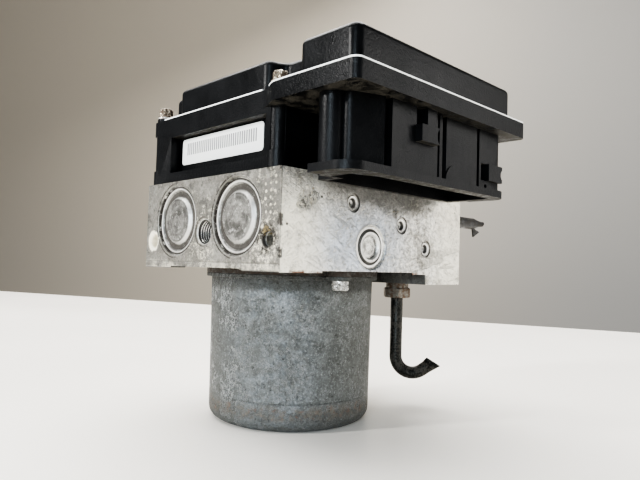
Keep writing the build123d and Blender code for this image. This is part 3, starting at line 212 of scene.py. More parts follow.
# the sealing balls of the cross drillings, by the side they are pressed in: y and z in mm
ballPlaces = {"right": [(-10.5, 82.9), (17.5, 76.8), (33.5, 68.4)], "left": [(12.0, 85.0), (-24.0, 84.5)]}

block = {
    "clean": (0.74, 0.73, 0.695), "dull": (0.23, 0.222, 0.198), "paintedBlueReflection": (0.54, 0.63, 0.78),
    "stain": (0.10, 0.10, 0.095), "bloom": (1.0, 0.95, 0.81), "rust": (0.20, 0.10, 0.06),
    "dirtAndShade": (0.045, 0.037, 0.03), "shade": (0.055, 0.055, 0.052), "crust": (0.36, 0.285, 0.15),
    # the next colour is painted light inside the left fixing hole
    "paintedHoleLight": (0.98, 0.92, 0.76),
    "roughSpots": [(-34.6, 81.3, 2.9), (-29.9, 83.5, 2.8), (13.5, 81.0, 1.5)],  # y, z and reach in mm
    "crustSpots": [(1, 64, 8, 2), (34, 63, 9, 3)],  # x, z, and where the crust begins and is full, in mm
    "marks": {  # in mm: a ramp's two ends, and for a band its softness as well
        "tooledAlong": (20, 30), "tooledUp": (72, 66),
        "sheenAlong": (-30, 14, 12), "sheenUp": (58, 80, 8), "dullAlong": (-26, 20, 14),
        "paleLeft": (-14, -42), "paleRight": (30, 52), "paleUp": (92, 76),
        "stainAlong": (-46, -16), "sagFrom": (-18, 6), "sagTo": (44, 22), "liftFrom": (34, 52),
        "pitsAlong": (20, 44), "peenedAcross": (33.5, 41.5, 0.4), "peenedUp": (74.5, 89.5, 0.6),
        "rustAcross": (20, 40), "rustBack": (34, 24), "rustFront": (-44, -36),
        "underside": (59.4, 58.4),
        "holePlace": (36.0, 68.6),  # the fixing holes' x and z
    },
}


# milled alloy after years on the road: each mark is a mask, from the ramp of a cloud or of a distance from an
# edge or an axis, and lays its colour over the marks before it
def blockAlloy():
    f = Finish("blockAlloy")
    at = marksOf(block)
    x, y, z = (f.part(i) for i in range(3))
    right = f.ramp(x, highBlock.x - 0.6 * mm, highBlock.x - 0.2 * mm)
    front = f.ramp(y, lowBlock.y + 0.6 * mm, lowBlock.y + 0.2 * mm)
    cloud = f.noise(55.0, 6.0, 0.62)
    patch = f.noise(170.0, 6.0, 0.70)
    fine = f.noise(750.0, 5.0, 0.70)
    grain = f.noise(2200.0, 3.0, 0.6)

    # strokes on the milled faces: scratches, hairs, painted glints along bright nicks and the sweep of a tool
    scratch = f.noise(620.0, 3.0, 0.7, stretch=(1.0, 0.05, 1.0), turn=(0.42, 0.0, 0.0))
    hair = f.noise(1150.0, 3.0, 0.65, stretch=(1.0, 0.22, 1.0), turn=(0.62, 0.0, 0.0))
    lines = f.ramp(scratch, 0.62, 0.65) * f.ramp(cloud, 0.46, 0.60) * 0.7
    lines = lines.top(f.ramp(hair, 0.57, 0.64) * f.ramp(patch, 0.40, 0.54) * 0.8)
    nick = f.noise(1250.0, 3.0, 0.65, stretch=(1.0, 0.25, 1.0), turn=(-0.45, 0.0, 0.0))
    glint = f.ramp(nick, 0.56, 0.63) * f.ramp(patch, 0.58, 0.46)
    sweep = f.noise(210.0, 2.0, 0.5, stretch=(1.0, 0.14, 1.0), turn=(-0.16, 0.0, 0.0))
    tooled = f.ramp(sweep, 0.55, 0.60) * f.ramp(z, *at["tooledUp"]) * f.ramp(y, *at["tooledAlong"]) * right

    # bare alloy all over, then the right face: a painted blue sheen standing for a reflection, a dull middle,
    # pale ends whose left one is a painted highlight, and a stain from above
    f.shade = f.mix(f.ramp(cloud * 0.5 + patch * 0.5, 0.36, 0.56), block["dull"], block["clean"])
    f.cover(f.ramp(fine, 0.48, 0.62) * 0.55, block["dull"])
    f.cover(f.ramp(fine, 0.47, 0.36) * 0.40, block["bloom"])
    # painted reflection: a blue tint laid into the right face's colour
    paintedSheenMask = right * f.band(y, *at["sheenAlong"]) * f.band(z, *at["sheenUp"])
    f.cover(paintedSheenMask * (0.15 + patch * 0.8), block["paintedBlueReflection"])
    middle = right * f.band(y, *at["dullAlong"])
    f.cover(middle * f.ramp(cloud, 0.44, 0.56) * 0.30, block["dull"])
    # painted highlight: the left end of the right face is painted pale cream, standing for the bright
    # reflection there
    paintedHighlightLeft = f.ramp(y, *at["paleLeft"]) * f.ramp(z, *at["paleUp"])
    paleEndsAndHighlight = right * (paintedHighlightLeft + f.ramp(y, *at["paleRight"]) * 0.8) * f.ramp(patch, 0.24, 0.52)
    f.cover(paleEndsAndHighlight * 0.90, block["bloom"])
    smear = f.noise(90.0, 6.0, 0.72, stretch=(1.0, 0.6, 1.6))
    sag = f.ramp(y, *at["sagFrom"]) * f.ramp(y, *at["sagTo"]) * (4.5 * mm)
    sag = sag - f.ramp(y, *at["liftFrom"]) * (5 * mm)
    top = f.ramp(z + smear * (13.0 * mm) + sag, highBlock.z - 1.0 * mm, highBlock.z + 3.5 * mm)
    topRight = top * right * f.ramp(y, *at["stainAlong"])
    f.cover(topRight * (0.60 + f.ramp(patch, 0.42, 0.58) * 0.24), block["stain"])

    # the front face: painted darker all over as shade, then etched, crusty below the port and the right hole,
    # grimy and specked, and creased low down
    # painted shade: the whole front face is darkened for the lower light it gets beside the right face
    f.cover(front * (0.66 + f.ramp(cloud, 0.44, 0.58) * 0.28), block["dull"])
    etched = f.ramp(f.noise(420.0, 6.0, 0.78), 0.54, 0.64) * f.ramp(cloud, 0.40, 0.62)
    f.cover(front * etched * 0.70, block["bloom"])
    crusty = [f.ramp(f.away((spotX * mm, 0, spotZ * mm), 1), begins * mm, full * mm)
              for spotX, spotZ, begins, full in block["crustSpots"]]
    flaked = f.ramp(f.noise(520.0, 6.0, 0.80), 0.50, 0.58)
    f.cover(front * sum(crusty) * flaked * 0.8, block["bloom"])
    grimy = f.ramp(f.noise(300.0, 6.0, 0.75), 0.53, 0.63)
    f.cover(front * grimy * 0.70, block["stain"])
    specks = f.ramp(f.noise(1300.0, 3.0, 0.7), 0.58, 0.66)
    f.cover(front * specks * 0.6, block["stain"])
    lowFront = front * f.ramp(z, lowBlock.z + 7.5 * mm, lowBlock.z + 5.8 * mm)
    crease = front * f.band(z + fine * (0.5 * mm), lowBlock.z + 6.6 * mm, lowBlock.z + 7.1 * mm, 0.2 * mm)
    f.cover(crease * f.ramp(patch, 0.42, 0.56) * 0.5, block["stain"])
    f.cover(lowFront * f.ramp(patch, 0.48, 0.60) * 0.45, block["bloom"])

    # pits and strokes on the right face
    pitField = 0.10 + f.ramp(f.noise(80.0, 2.0), 0.50, 0.62) * f.ramp(y, *at["pitsAlong"])
    pits = f.ramp(f.cells(300.0) + fine * 0.12, 0.22, 0.14) * pitField + f.ramp(f.cells(95.0), 0.055, 0.030)
    f.cover(right * pits * 0.9, block["dirtAndShade"])
    f.cover(lines * right * (0.46 - paleEndsAndHighlight * 0.30), block["dull"])
    # painted highlight: pale glints along the nicks
    f.cover(glint * right * (0.35 - topRight * 0.30), block["bloom"])
    f.cover(tooled * 0.40, block["dull"])

    def seatRing(ballY, ballZ):  # darker in the far half of the ring round a sealing ball
        ring = f.band(f.away((0, ballY * mm, ballZ * mm), 0), 3.05 * mm, 3.55 * mm, 0.14 * mm)
        return ring * f.ramp(y, (ballY - 1.5) * mm, (ballY + 1.5) * mm)

    def roughSpot(spotY, spotZ, reach):  # a corroded spot with a ragged rim
        ragged = f.away((0, spotY * mm, spotZ * mm), 0) + (f.noise(380.0, 4.0, 0.75) - 0.5) * (7.0 * mm)
        return f.ramp(ragged, reach * mm, reach * 0.75 * mm)

    rough = most(roughSpot(*spot) for spot in block["roughSpots"]) * right
    crumbs = f.noise(760.0, 4.0, 0.8)
    f.cover(most(seatRing(*ball) for ball in ballPlaces["right"]) * right * 0.85, block["dirtAndShade"])
    f.cover(rough * f.ramp(crumbs, 0.50, 0.57) * 0.85, block["dirtAndShade"])
    f.cover(rough * f.ramp(crumbs, 0.46, 0.40) * 0.60, block["crust"])

    # peened dots beside the right cap, chips on the corner and rust along the lower edge
    peen = f.ramp(f.cells(430.0, randomness=0.25), 0.32, 0.20) * front
    peen = peen * f.band(x, *at["peenedAcross"]) * f.band(z, *at["peenedUp"]) * f.ramp(fine, 0.40, 0.50)
    f.cover(peen * 0.75, block["bloom"])
    nibble = f.ramp(f.noise(260.0, 4.0, 0.7, stretch=(1, 1, 0.7)), 0.6, 0.4) * (2.4 * mm)
    chipped = f.ramp(f.away((highBlock.x, lowBlock.y, 0), 2) + nibble, 1.5 * mm, 0.9 * mm)
    chipped = chipped * f.ramp(f.noise(130.0, 2.0, 0.5, stretch=(0.01, 0.01, 1.0)), 0.52, 0.57)
    f.cover(chipped * 0.85, block["dirtAndShade"])
    rustLine = f.ramp(z - fine * (1.4 * mm), lowBlock.z + 4.3 * mm, lowBlock.z + 3.4 * mm)
    rust = rustLine * f.ramp(x, *at["rustAcross"]) * f.ramp(y, *at["rustBack"]) * f.ramp(y, *at["rustFront"])
    rust = rust * f.ramp(f.noise(300.0, 5.0), 0.36, 0.52)
    f.cover(rust, block["rust"])

    def capRings(centre):  # dirt in the two staked rings round a cap, with painted shade making them darker on their left
        gap = f.away(centre, 1)
        # painted shade: the rings' left sides are darkened where the grooves lie in shade
        shadedLeft = f.ramp(x - centre.x, 6.0 * mm, -8.0 * mm)
        ring = f.band(gap, capRadius + 1.05 * mm, capRadius + 1.55 * mm, 0.18 * mm)
        ring = ring.top(f.band(gap, capRadius - 0.2 * mm, capRadius + 0.45 * mm, 0.18 * mm))
        return ring * (0.12 + shadedLeft) * f.ramp(f.noise(420.0, 4.0, 0.75), 0.36, 0.50)

    # the fixing holes, one painted bright as lit and one muddy, and the mouth of the front port
    holeX, holeZ = at["holePlace"]
    nearFront = f.ramp(y, lowBlock.y + 6.0 * mm, lowBlock.y + 4.0 * mm)
    litHoleRim = f.away((-holeX, 0, holeZ), 1) + f.noise(380.0, 4.0, 0.7) * (3.0 * mm)
    paintedLitHole = f.ramp(litHoleRim, 6.1 * mm, 5.3 * mm) * nearFront
    # painted light: the left fixing hole's inside is painted near white, standing for the light falling into
    # it
    f.cover(paintedLitHole * 0.95, block["paintedHoleLight"])
    mouth = f.band(f.away(mounts["front_port"], 1), 5.15 * mm, 5.6 * mm, 0.2 * mm)
    mouth = mouth * f.ramp(x, 3 * mm, -2 * mm)
    hole = f.away((holeX, 0, holeZ), 1)
    muddy = f.ramp(hole + f.noise(420.0, 4.0, 0.75) * (3.0 * mm), 7.4 * mm, 5.6 * mm)
    muddy = muddy * f.ramp(f.noise(620.0, 5.0, 0.8), 0.44, 0.52)
    dirtAndShade = most(capRings(centre) for centre in capCentres)
    dirtAndShade = dirtAndShade.top(muddy).top(f.ramp(hole, 3.6 * mm, 3.2 * mm) * 0.9).top(mouth * 0.8)
    dirtAndShade = dirtAndShade * f.ramp(y, lowBlock.y + 2.5 * mm, lowBlock.y + 1.5 * mm)
    f.cover(dirtAndShade * 0.92, block["dirtAndShade"])
    flaky = f.ramp(hole, 9.0 * mm, 4.6 * mm) * f.ramp(f.noise(560.0, 5.0, 0.8), 0.52, 0.57)
    f.cover(front * flaky * 0.8, block["bloom"])
    mudTop = f.away((holeX - 0.4 * mm, 0, holeZ + 2.2 * mm), 1) + f.noise(520.0, 4.0, 0.75) * (2.6 * mm)
    golden = f.ramp(mudTop, 3.7 * mm, 2.9 * mm) * f.ramp(f.noise(800.0, 3.0), 0.44, 0.52)
    f.cover(golden * nearFront * 0.9, block["crust"])

    # the ring round the pump plug, and painted shade on the underside and the foot's inner wall
    ringPlug = f.band(f.away(plugCentre, 0), 8.1 * mm, 9.0 * mm, 0.25 * mm) * right
    f.cover(ringPlug * 0.35 * f.ramp(fine, 0.35, 0.55), block["stain"])
    # painted shade: the recessed faces low in the foot, behind the right and front faces, are painted dark
    under = f.ramp(x, highBlock.x - 0.05 * mm, highBlock.x - 0.5 * mm) * f.ramp(z, *at["underside"])
    under = under * f.ramp(y, lowBlock.y + 0.05 * mm, lowBlock.y + 0.5 * mm)
    f.cover(under * (0.55 + cloud * 0.5), block["shade"])

    f.set("Base Color", f.shade)
    wornAndShaded = dirtAndShade.top(topRight * 0.75).top(rust).top(under * 0.8).top(chipped)
    f.set("Metallic", 0.92 - wornAndShaded * 0.75 - paleEndsAndHighlight * 0.60 - paintedLitHole * 0.9
          - golden * 0.6 - f.ramp(fine, 0.50, 0.70) * 0.25)
    f.set("Roughness", 0.24 + cloud * 0.12 + fine * 0.22 + wornAndShaded * 0.25 + paleEndsAndHighlight * 0.12)
    height = cloud * 0.22 + patch * 0.26 + fine * 0.26 + grain * 0.06
    height = height - lines * 0.16 - tooled * 0.14 - pits * 0.8 + glint * 0.12 - rough * crumbs * 1.2
    height = height + peen * 0.4 - dirtAndShade * fine * 1.2 - rust * fine * 0.6 - chipped * 0.8 - crease * 0.3
    f.set("Normal", f.bump(height + front * etched * 0.12, 0.0013))
    return f.material


cap = {"clean": (0.33, 0.326, 0.305), "dull": (0.125, 0.123, 0.115), "dirtAndShade": (0.05, 0.043, 0.036),
       "bright": (0.90, 0.89, 0.86)}


# turned caps, plugs and balls: fine rings, from a one-way noise of the distance to the piece's own axis, over
# clouds; painted highlights on the flanks, and grime with painted shade in the grooves, lie between pairs of
# radii
def ringedAlloy(name, centres, axis, ringPitch, grimeAndShadeRings, highlightRings, tint=1.0, ringShine=0.11):
    f = Finish(name)
    cloud = f.noise(200.0, 6.0, 0.70)
    fine = f.noise(900.0, 5.0, 0.70)
    gap = nearest(f.away(centre, axis) for centre in centres)
    rings = f.node("ShaderNodeTexNoise", {"noise_dimensions": "1D"},
                   {"W": gap, "Scale": 1.0 / ringPitch, "Detail": 2.0}, "Fac")
    clean, dull = (tuple(min(1.0, c * tint) for c in cap[key]) for key in ("clean", "dull"))
    f.shade = f.mix(f.ramp(cloud, 0.40, 0.60), dull, clean)
    f.cover(f.ramp(fine, 0.52, 0.64) * 0.50, dull)
    f.cover(f.ramp(rings, 0.48, 0.62) * ringShine, cap["bright"])
    etched = f.ramp(f.noise(480.0, 6.0, 0.8), 0.55, 0.63)
    f.cover(etched * 0.45, cap["bright"])
    # painted highlight: the flank rings are painted bright
    shine = most(f.band(gap, low * mm, high * mm, 0.15 * mm) for low, high in highlightRings)
    f.cover(shine * 0.7, cap["bright"])
    # grime and painted shade: the groove rings are painted dark
    grimeAndShade = most(f.band(gap, low * mm, high * mm, 0.20 * mm) for low, high in grimeAndShadeRings)
    grimeAndShade = grimeAndShade * f.ramp(cloud, 0.20, 0.45)
    f.cover(grimeAndShade * 0.85, cap["dirtAndShade"])
    f.set("Base Color", f.shade)
    f.set("Metallic", 0.92 - grimeAndShade * 0.6 - f.ramp(fine, 0.5, 0.7) * 0.2)
    f.set("Roughness", 0.30 + cloud * 0.14 + fine * 0.10 + grimeAndShade * 0.25 - shine * 0.06)
    f.set("Normal", f.bump(cloud * 0.3 + rings * (ringShine * 0.5) + fine * 0.28 - grimeAndShade * 0.1, 0.0010))
    return f.material


plastic = {"deep": (0.0034, 0.0037, 0.0042), "pale": (0.0085, 0.0090, 0.0100), "dustAndBounceLight": (0.105, 0.096, 0.076),
           "scuff": (0.050, 0.050, 0.050)}


# moulded black: a satin skin with a fine peel; dust lies where the surface faces up, dust and painted bounce
# light where it faces down, and scuffs and specks come from high-cut clouds
def mouldedBlack(name, roughness, dustAmount, grain=1.0):
    f = Finish(name, Specular_IOR_Level=0.20)
    lie = f.part(2, f.facing)
    cloud = f.noise(60.0, 6.0, 0.65)
    fine = f.noise(1900.0, 3.0, 0.6)
    peel = f.noise(820.0, 3.0, 0.6)
    streak = f.noise(420.0, 4.0, 0.7, stretch=(1.0, 1.0, 0.12))
    speck = f.ramp(f.cells(420.0), 0.085, 0.045) * f.ramp(f.noise(130.0, 2.0), 0.52, 0.66)
    f.shade = f.mix(f.ramp(cloud, 0.3, 0.7), plastic["deep"], plastic["pale"])
    # dust and painted bounce light: the undersides are painted a pale brown
    under = f.ramp(lie, -0.4, -0.9) * f.ramp(f.noise(240.0, 6.0, 0.80), 0.40, 0.58)
    over = f.ramp(lie, 0.5, 0.95) * f.ramp(f.noise(260.0, 6.0, 0.75), 0.40, 0.66) * 0.6
    dustAndBounceLight = under.top(over)
    f.cover(dustAndBounceLight * dustAmount, plastic["dustAndBounceLight"])
    scuffs = f.ramp(f.noise(700.0, 5.0, 0.8, stretch=(1.0, 1.0, 0.35)), 0.63, 0.74)
    f.cover(scuffs * 0.22 + speck * 0.45, plastic["scuff"])
    f.set("Base Color", f.shade)
    f.set("Roughness", roughness + f.ramp(cloud, 0.3, 0.7) * 0.12 + dustAndBounceLight * 0.35 + streak * 0.10 - 0.10)
    height = fine * 0.40 * grain + peel * 0.46 * grain + streak * 0.10 + cloud * 0.2 - speck * 0.1
    f.set("Normal", f.bump(height, 0.00024, 0.9))
    return f.material


can = {
    "zinc": (0.160, 0.168, 0.166), "pale": (0.42, 0.44, 0.44), "dark": (0.060, 0.063, 0.058),
    "tan": (0.21, 0.18, 0.14), "paintedBlueReflection": (0.27, 0.34, 0.42), "shadeOlive": (0.085, 0.088, 0.073),
    "grimeAndShade": (0.040, 0.040, 0.034), "rust": (0.20, 0.10, 0.06), "white": (0.75, 0.76, 0.75),
    "marks": {  # in mm: a ramp's two ends, and for a band its softness as well
        "shadedFarSide": (8, 34), "reflectingNearSide": (22, 32), "shadedBackSide": (-6, 20), "flakesEnd": (14, -2),
        "edge": (18, 34), "foot": (12.5, 8.5), "seam": (10.6, 11.0, 0.25), "paintedNeckShade": (47.5, 50.0),
        "rusty": (5.0, 9.5, 1.2), "silted": (6.0, 10.5, 1.5),
    },
}


# hot-dip zinc gone grey: mottling over clouds; painted shade on the far and back sides and a painted blue
# reflection on the near side, each from a sum of x and y; bloom in crackled flecks, pits, and grime, rust and
# silt between heights at the foot, and painted shade under the flange
def canZinc():
    f = Finish("canZinc")
    at = marksOf(can)
    x, y, z = (f.part(i) for i in range(3))
    cloud = f.noise(48.0, 6.0, 0.62)
    blot = f.noise(190.0, 7.0, 0.78)
    fine = f.noise(640.0, 5.0, 0.74)
    grain = f.noise(1800.0, 3.0, 0.6)
    skinGrain = f.noise(1250.0, 4.0, 0.75)
    spangle = f.part(0, f.cells(420.0, "Color"))
    f.shade = f.mix(f.ramp(cloud, 0.30, 0.60), can["dark"], can["zinc"])
    f.cover(f.ramp(blot, 0.44, 0.70) * 0.34, can["pale"])
    f.cover(f.ramp(fine, 0.54, 0.40) * 0.60, can["dark"])
    f.cover(f.ramp(fine, 0.58, 0.68) * 0.35, can["pale"])
    # painted shade: the far side is darkened towards olive
    shadedFarSide = f.ramp(x + y, *at["shadedFarSide"])
    f.cover(shadedFarSide * 0.52, can["shadeOlive"])
    # painted reflection: a blue tint on the near side
    reflectingNearSide = f.ramp(x * 0.45 - y * 0.89, *at["reflectingNearSide"])
    f.cover(reflectingNearSide * f.ramp(blot, 0.42, 0.60) * 0.22, can["paintedBlueReflection"])
    # painted shade: the back side is darkened
    shadedBackSide = f.ramp(x * -0.9 - y * 0.43, *at["shadedBackSide"])
    f.cover(shadedBackSide * 0.75 + 0.13, can["dark"])
    f.cover(f.ramp(skinGrain, 0.53, 0.63) * 0.42, can["pale"])
    f.cover(f.ramp(skinGrain, 0.48, 0.38) * 0.55, can["dark"])
    f.cover(spangle * 0.12, can["pale"])

    # white bloom: crackle lines where the skin flakes, scattered flecks, and more of them at the far edge
    crackle = f.ramp(f.noise(240.0, 7.0, 0.76, stretch=(1, 1, 0.7)).off(0.5), 0.026, 0.006)
    flaked = f.ramp(f.noise(75.0, 3.0), 0.46, 0.56) * (f.ramp(x, *at["flakesEnd"]) + 0.30)
    scattered = f.ramp(f.noise(460.0, 5.0, 0.85), 0.625, 0.69) * f.ramp(f.noise(42.0, 3.0), 0.50, 0.62)
    edgeFleck = f.ramp(f.noise(900.0, 4.0, 0.8), 0.60, 0.68) * f.ramp(x, *at["edge"]) * 0.8
    fleck = (crackle * flaked * 1.3).top(scattered).top(edgeFleck)
    f.cover(fleck * 0.75, can["white"])
    pits = f.ramp(f.noise(560.0, 4.0, 0.78, stretch=(1, 1, 1.3)), 0.62, 0.70)
    f.cover(pits * 0.7, can["grimeAndShade"])

    # grime at the foot and in the seam above it, and painted shade under the flange
    foot = f.ramp(z + blot * (5.0 * mm), *at["foot"]) * 0.50
    seam = f.band(z + fine * (0.6 * mm), *at["seam"]) * f.ramp(cloud, 0.40, 0.58) * 0.6
    # painted shade: a dark band just under the flange
    paintedNeckShade = f.ramp(z - blot * (4.0 * mm), *at["paintedNeckShade"])
    grimeAndShade = foot.top(paintedNeckShade).top(seam)
    f.cover(grimeAndShade * (0.35 + cloud * 0.6), can["grimeAndShade"])
    rust = f.band(z, *at["rusty"]) * f.ramp(f.noise(520.0, 5.0, 0.75), 0.54, 0.62)
    f.cover(rust * 0.55, can["rust"])
    silt = f.band(z + blot * (3.0 * mm), *at["silted"])
    f.cover(silt * f.ramp(f.noise(360.0, 6.0, 0.8), 0.47, 0.56) * 0.45, can["tan"])

    f.set("Base Color", f.shade)
    f.set("Metallic", 0.35 - grimeAndShade * 0.25 - rust * 0.2 - fleck * 0.25)
    f.set("Roughness", 0.36 + blot * 0.20 + grimeAndShade * 0.20 + pits * 0.2)
    height = cloud * 0.20 + blot * 0.30 + fine * 0.24 + skinGrain * 0.16 + grain * 0.05
    height = height - pits * 0.35 + fleck * 0.2 - seam * 0.25
    f.set("Normal", f.bump(height, 0.0015))
    return f.material


# plated steel going over to rust: bright where rubbed, brown where the cloud is high; a larger amount lowers
# the height at which the brown begins
def rustingSteel(name, bright, brown, amount, roughness=0.42, scale=420.0):
    f = Finish(name)
    cloud = f.noise(scale, 6.0, 0.72)
    fine = f.noise(scale * 4, 4.0, 0.65)
    mask = f.ramp(cloud + fine * 0.25, 0.72 - amount * 0.4, 0.86 - amount * 0.4)
    f.shade = f.mix(f.ramp(fine, 0.38, 0.60), tuple(c * 0.45 for c in bright), bright)
    f.cover(mask, brown)
    f.set("Base Color", f.shade)
    f.set("Metallic", 0.85 - mask * 0.75)
    f.set("Roughness", roughness + mask * 0.35 - fine * 0.1)
    f.set("Normal", f.bump(cloud * 0.5 + fine * 0.35 + mask * 0.3, 0.00014, 0.8))
    return f.material


film = {"paper": (0.92, 0.92, 0.90), "rule": (0.13, 0.13, 0.14), "pitch": 1.30, "share": 0.50,
        "margin": 3.4, "height": (3.7, 8.3)}


# the label film: bare white with one evenly ruled grey field; a rule lies where the distance along x, folded
# back at each half pitch, is below the rule's share
def ruledFilm():
    low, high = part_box("label")
    f = Finish("labelFilm", Roughness=0.38)
    x, z = f.part(0), f.part(2)
    half = film["pitch"] * mm / 2
    folded = f.node("ShaderNodeMath", {"operation": "PINGPONG"}, {0: x - low[0], 1: half})
    rule = f.ramp(folded, half * film["share"] + 0.03 * mm, half * film["share"] - 0.03 * mm)
    field = f.band(x, low[0] + film["margin"] * mm, high[0] - film["margin"] * mm, 0.05 * mm)
    field = field * f.band(z, low[2] + film["height"][0] * mm, low[2] + film["height"][1] * mm, 0.05 * mm)
    grubby = f.noise(120.0, 5.0)
    f.shade = f.mix(grubby, tuple(c * 0.90 for c in film["paper"]), film["paper"])
    f.cover(rule * field * 0.9, film["rule"])
    f.set("Base Color", f.shade)
    f.set("Normal", f.bump(grubby, 0.00002, 0.4))
    return f.material


thread = {"core": 4.5, "crest": 0.36, "pitch": 1.0, "deep": 9.2, "mouth": 0.75,
          "bright": (0.88, 0.87, 0.85), "dull": (0.62, 0.60, 0.56), "root": (0.035, 0.03, 0.026)}


# port threads: bright crests, dark roots; the root is where the distance from the nearest port's own
# centre line is largest
def threadAlloy():
    f = Finish("threadAlloy", Roughness=0.26)
    gap = nearest(f.away(place, 1) for place in [mounts["front_port"]] + wheelPorts)
    root = f.ramp(gap, (thread["core"] - 0.34) * mm, (thread["core"] - 0.12) * mm)
    cloud = f.noise(500.0, 4.0)
    f.shade = f.mix(cloud, thread["dull"], thread["bright"])
    f.cover(root * 0.93, thread["root"])
    f.set("Base Color", f.shade)
    f.set("Metallic", 0.95 - root * 0.5)
    f.set("Normal", f.bump(cloud, 0.00004, 0.5))
    return f.material


ballCentres = [(0, y * mm, z * mm) for side in ballPlaces.values() for y, z in side]
blockFinish = blockAlloy()
capFinish = ringedAlloy("capAlloy", capCentres, 1, 1.1 * mm, [(9.5, 11.3), (12.6, 13.3)],
                        [(8.4, 9.2), (11.9, 12.5)])
plugFinish = ringedAlloy("plugAlloy", [plugCentre], 0, 0.7 * mm, [(5.6, 6.6), (7.8, 8.8)],
                         [(4.3, 5.6), (6.7, 7.7)], 2.0, 0.60)
ballFinish = ringedAlloy("ballAlloy", ballCentres, 0, 0.5 * mm, [(0.0, 0.5), (1.30, 1.75), (2.65, 3.0)],
                         [(0.8, 1.1), (1.95, 2.5)], 2.0, 0.30)
threadFinish = threadAlloy()
housingFinish = mouldedBlack("housingPlastic", 0.34, 0.42)
lidFinish = mouldedBlack("lidPlastic", 0.32, 0.30, 0.7)
sealFinish = plainFinish("sealBead", (0.90, 0.895, 0.87), 0.0, 0.55, 500.0, 0.00004, 0.06)
canFinish = canZinc()
plateFinish = rustingSteel("plateZinc", (0.15, 0.15, 0.14), (0.052, 0.040, 0.032), 0.50, 0.5, 620.0)
screwFinish = rustingSteel("screwSteel", (0.62, 0.55, 0.44), (0.075, 0.048, 0.030), 0.44, 0.30, 700.0)
bushFinish = rustingSteel("bushSteel", (0.78, 0.75, 0.69), (0.16, 0.10, 0.06), 0.30, 0.42)
motorScrewFinish = rustingSteel("motorScrewZinc", (0.70, 0.70, 0.67), (0.10, 0.095, 0.08), 0.26, 0.26, 1100.0)
nutFinish = rustingSteel("rustyNut", (0.36, 0.34, 0.30), (0.13, 0.085, 0.055), 0.40, 0.42, 520.0)
pipeFinish = rustingSteel("coatedPipe", (0.044, 0.045, 0.041), (0.052, 0.045, 0.036), 0.30, 0.36, 340.0)
stubFinish = rustingSteel("scrapedPipe", (0.10, 0.10, 0.10), (0.05, 0.045, 0.04), 0.40, 0.42, 340.0)
labelFinish = ruledFilm()
print("outer finishes made")

wears = {
    "valve_block": blockFinish, "accumulator_cap_left": capFinish, "accumulator_cap_right": capFinish,
    "pump_plug_left": plugFinish, "pump_plug_right": plugFinish, "ball_plugs": ballFinish,
    "control_housing": housingFinish, "control_lid": lidFinish, "lid_seal": sealFinish,
    "label": labelFinish, "motor_can": canFinish, "motor_end_plate": plateFinish,
    "housing_screws": screwFinish, "screw_bushes": bushFinish, "motor_screws": motorScrewFinish,
    "front_nut": nutFinish, "rear_nut": nutFinish, "front_pipe": pipeFinish, "rear_pipe": stubFinish,
    "base_gasket": inner["darkRubber"], "motor_seal": inner["darkRubber"],
    "circuit_board": inner["boardLaminate"], "board_parts": inner["chipPlastic"],
    "connector_pins": inner["contactTin"], "motor_contact": inner["contactTin"],
    "commutator": inner["contactTin"], "brushes": inner["carbonBlock"],
    "brush_holder": inner["holderPlastic"],
}
bySort = {"coil_row": "coilPlastic", "motor_magnet": "magnetIron", "spring": "springSteel",
          "accumulator_piston": "innerAlloy"}
for name, node in nodes.items():
    sort = next((finish for word, finish in bySort.items() if word in name), "innerSteel")
    node.data.materials.clear()
    node.data.materials.append(wears.get(name) or inner[sort])
print("finishes given to every piece")


# a shown piece in place of CAD nodes: it rides on their body and keeps their finish
def stands(piece, *names):
    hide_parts(*names)
    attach(piece, "unit")
    piece.data.materials.clear()
    piece.data.materials.append(wears[names[0]])


edges = {  # the width of each piece's broken corners in mm
    "valve_block": 0.32, "accumulator_cap_left": 0.22, "accumulator_cap_right": 0.22,
    "pump_plug_left": 0.16, "pump_plug_right": 0.16, "control_housing": 0.30, "control_lid": 0.25,
    "lid_seal": 0.12, "label": 0.05, "motor_can": 0.25, "motor_end_plate": 0.25, "screw_bushes": 0.2,
}
sharp = math.radians(32)  # a corner that turns by more than this is broken


# the CAD solid with its corners broken: its triangles are joined, flat ones are merged into whole
# faces, and a Bevel modifier rounds every sharp corner
def eased(name, width):
    mesh = nodes[name].data.copy()
    mesh.name = name + "Eased"
    form = bmesh.new()
    form.from_mesh(mesh)
    bmesh.ops.remove_doubles(form, verts=form.verts, dist=0.0015 * mm)
    bmesh.ops.dissolve_limit(form, angle_limit=math.radians(0.6), verts=form.verts, edges=form.edges)
    for face in form.faces:
        face.smooth = True
    for edge in form.edges:
        edge.smooth = len(edge.link_faces) == 2 and edge.calc_face_angle(0.0) < sharp
    form.to_mesh(mesh)
    form.free()
    piece = bpy.data.objects.new(name + "Eased", mesh)
    scene.collection.objects.link(piece)
    corner = piece.modifiers.new("corner", "BEVEL")
    corner.width = width * mm
    corner.segments = 2
    corner.limit_method = "ANGLE"
    corner.angle_limit = sharp
    corner.use_clamp_overlap = True
    corner.harden_normals = True
    corner.miter_outer = "MITER_ARC"
    stands(piece, name)


for name, width in edges.items():
    eased(name, width)
print("corners eased on", len(edges), "pieces")


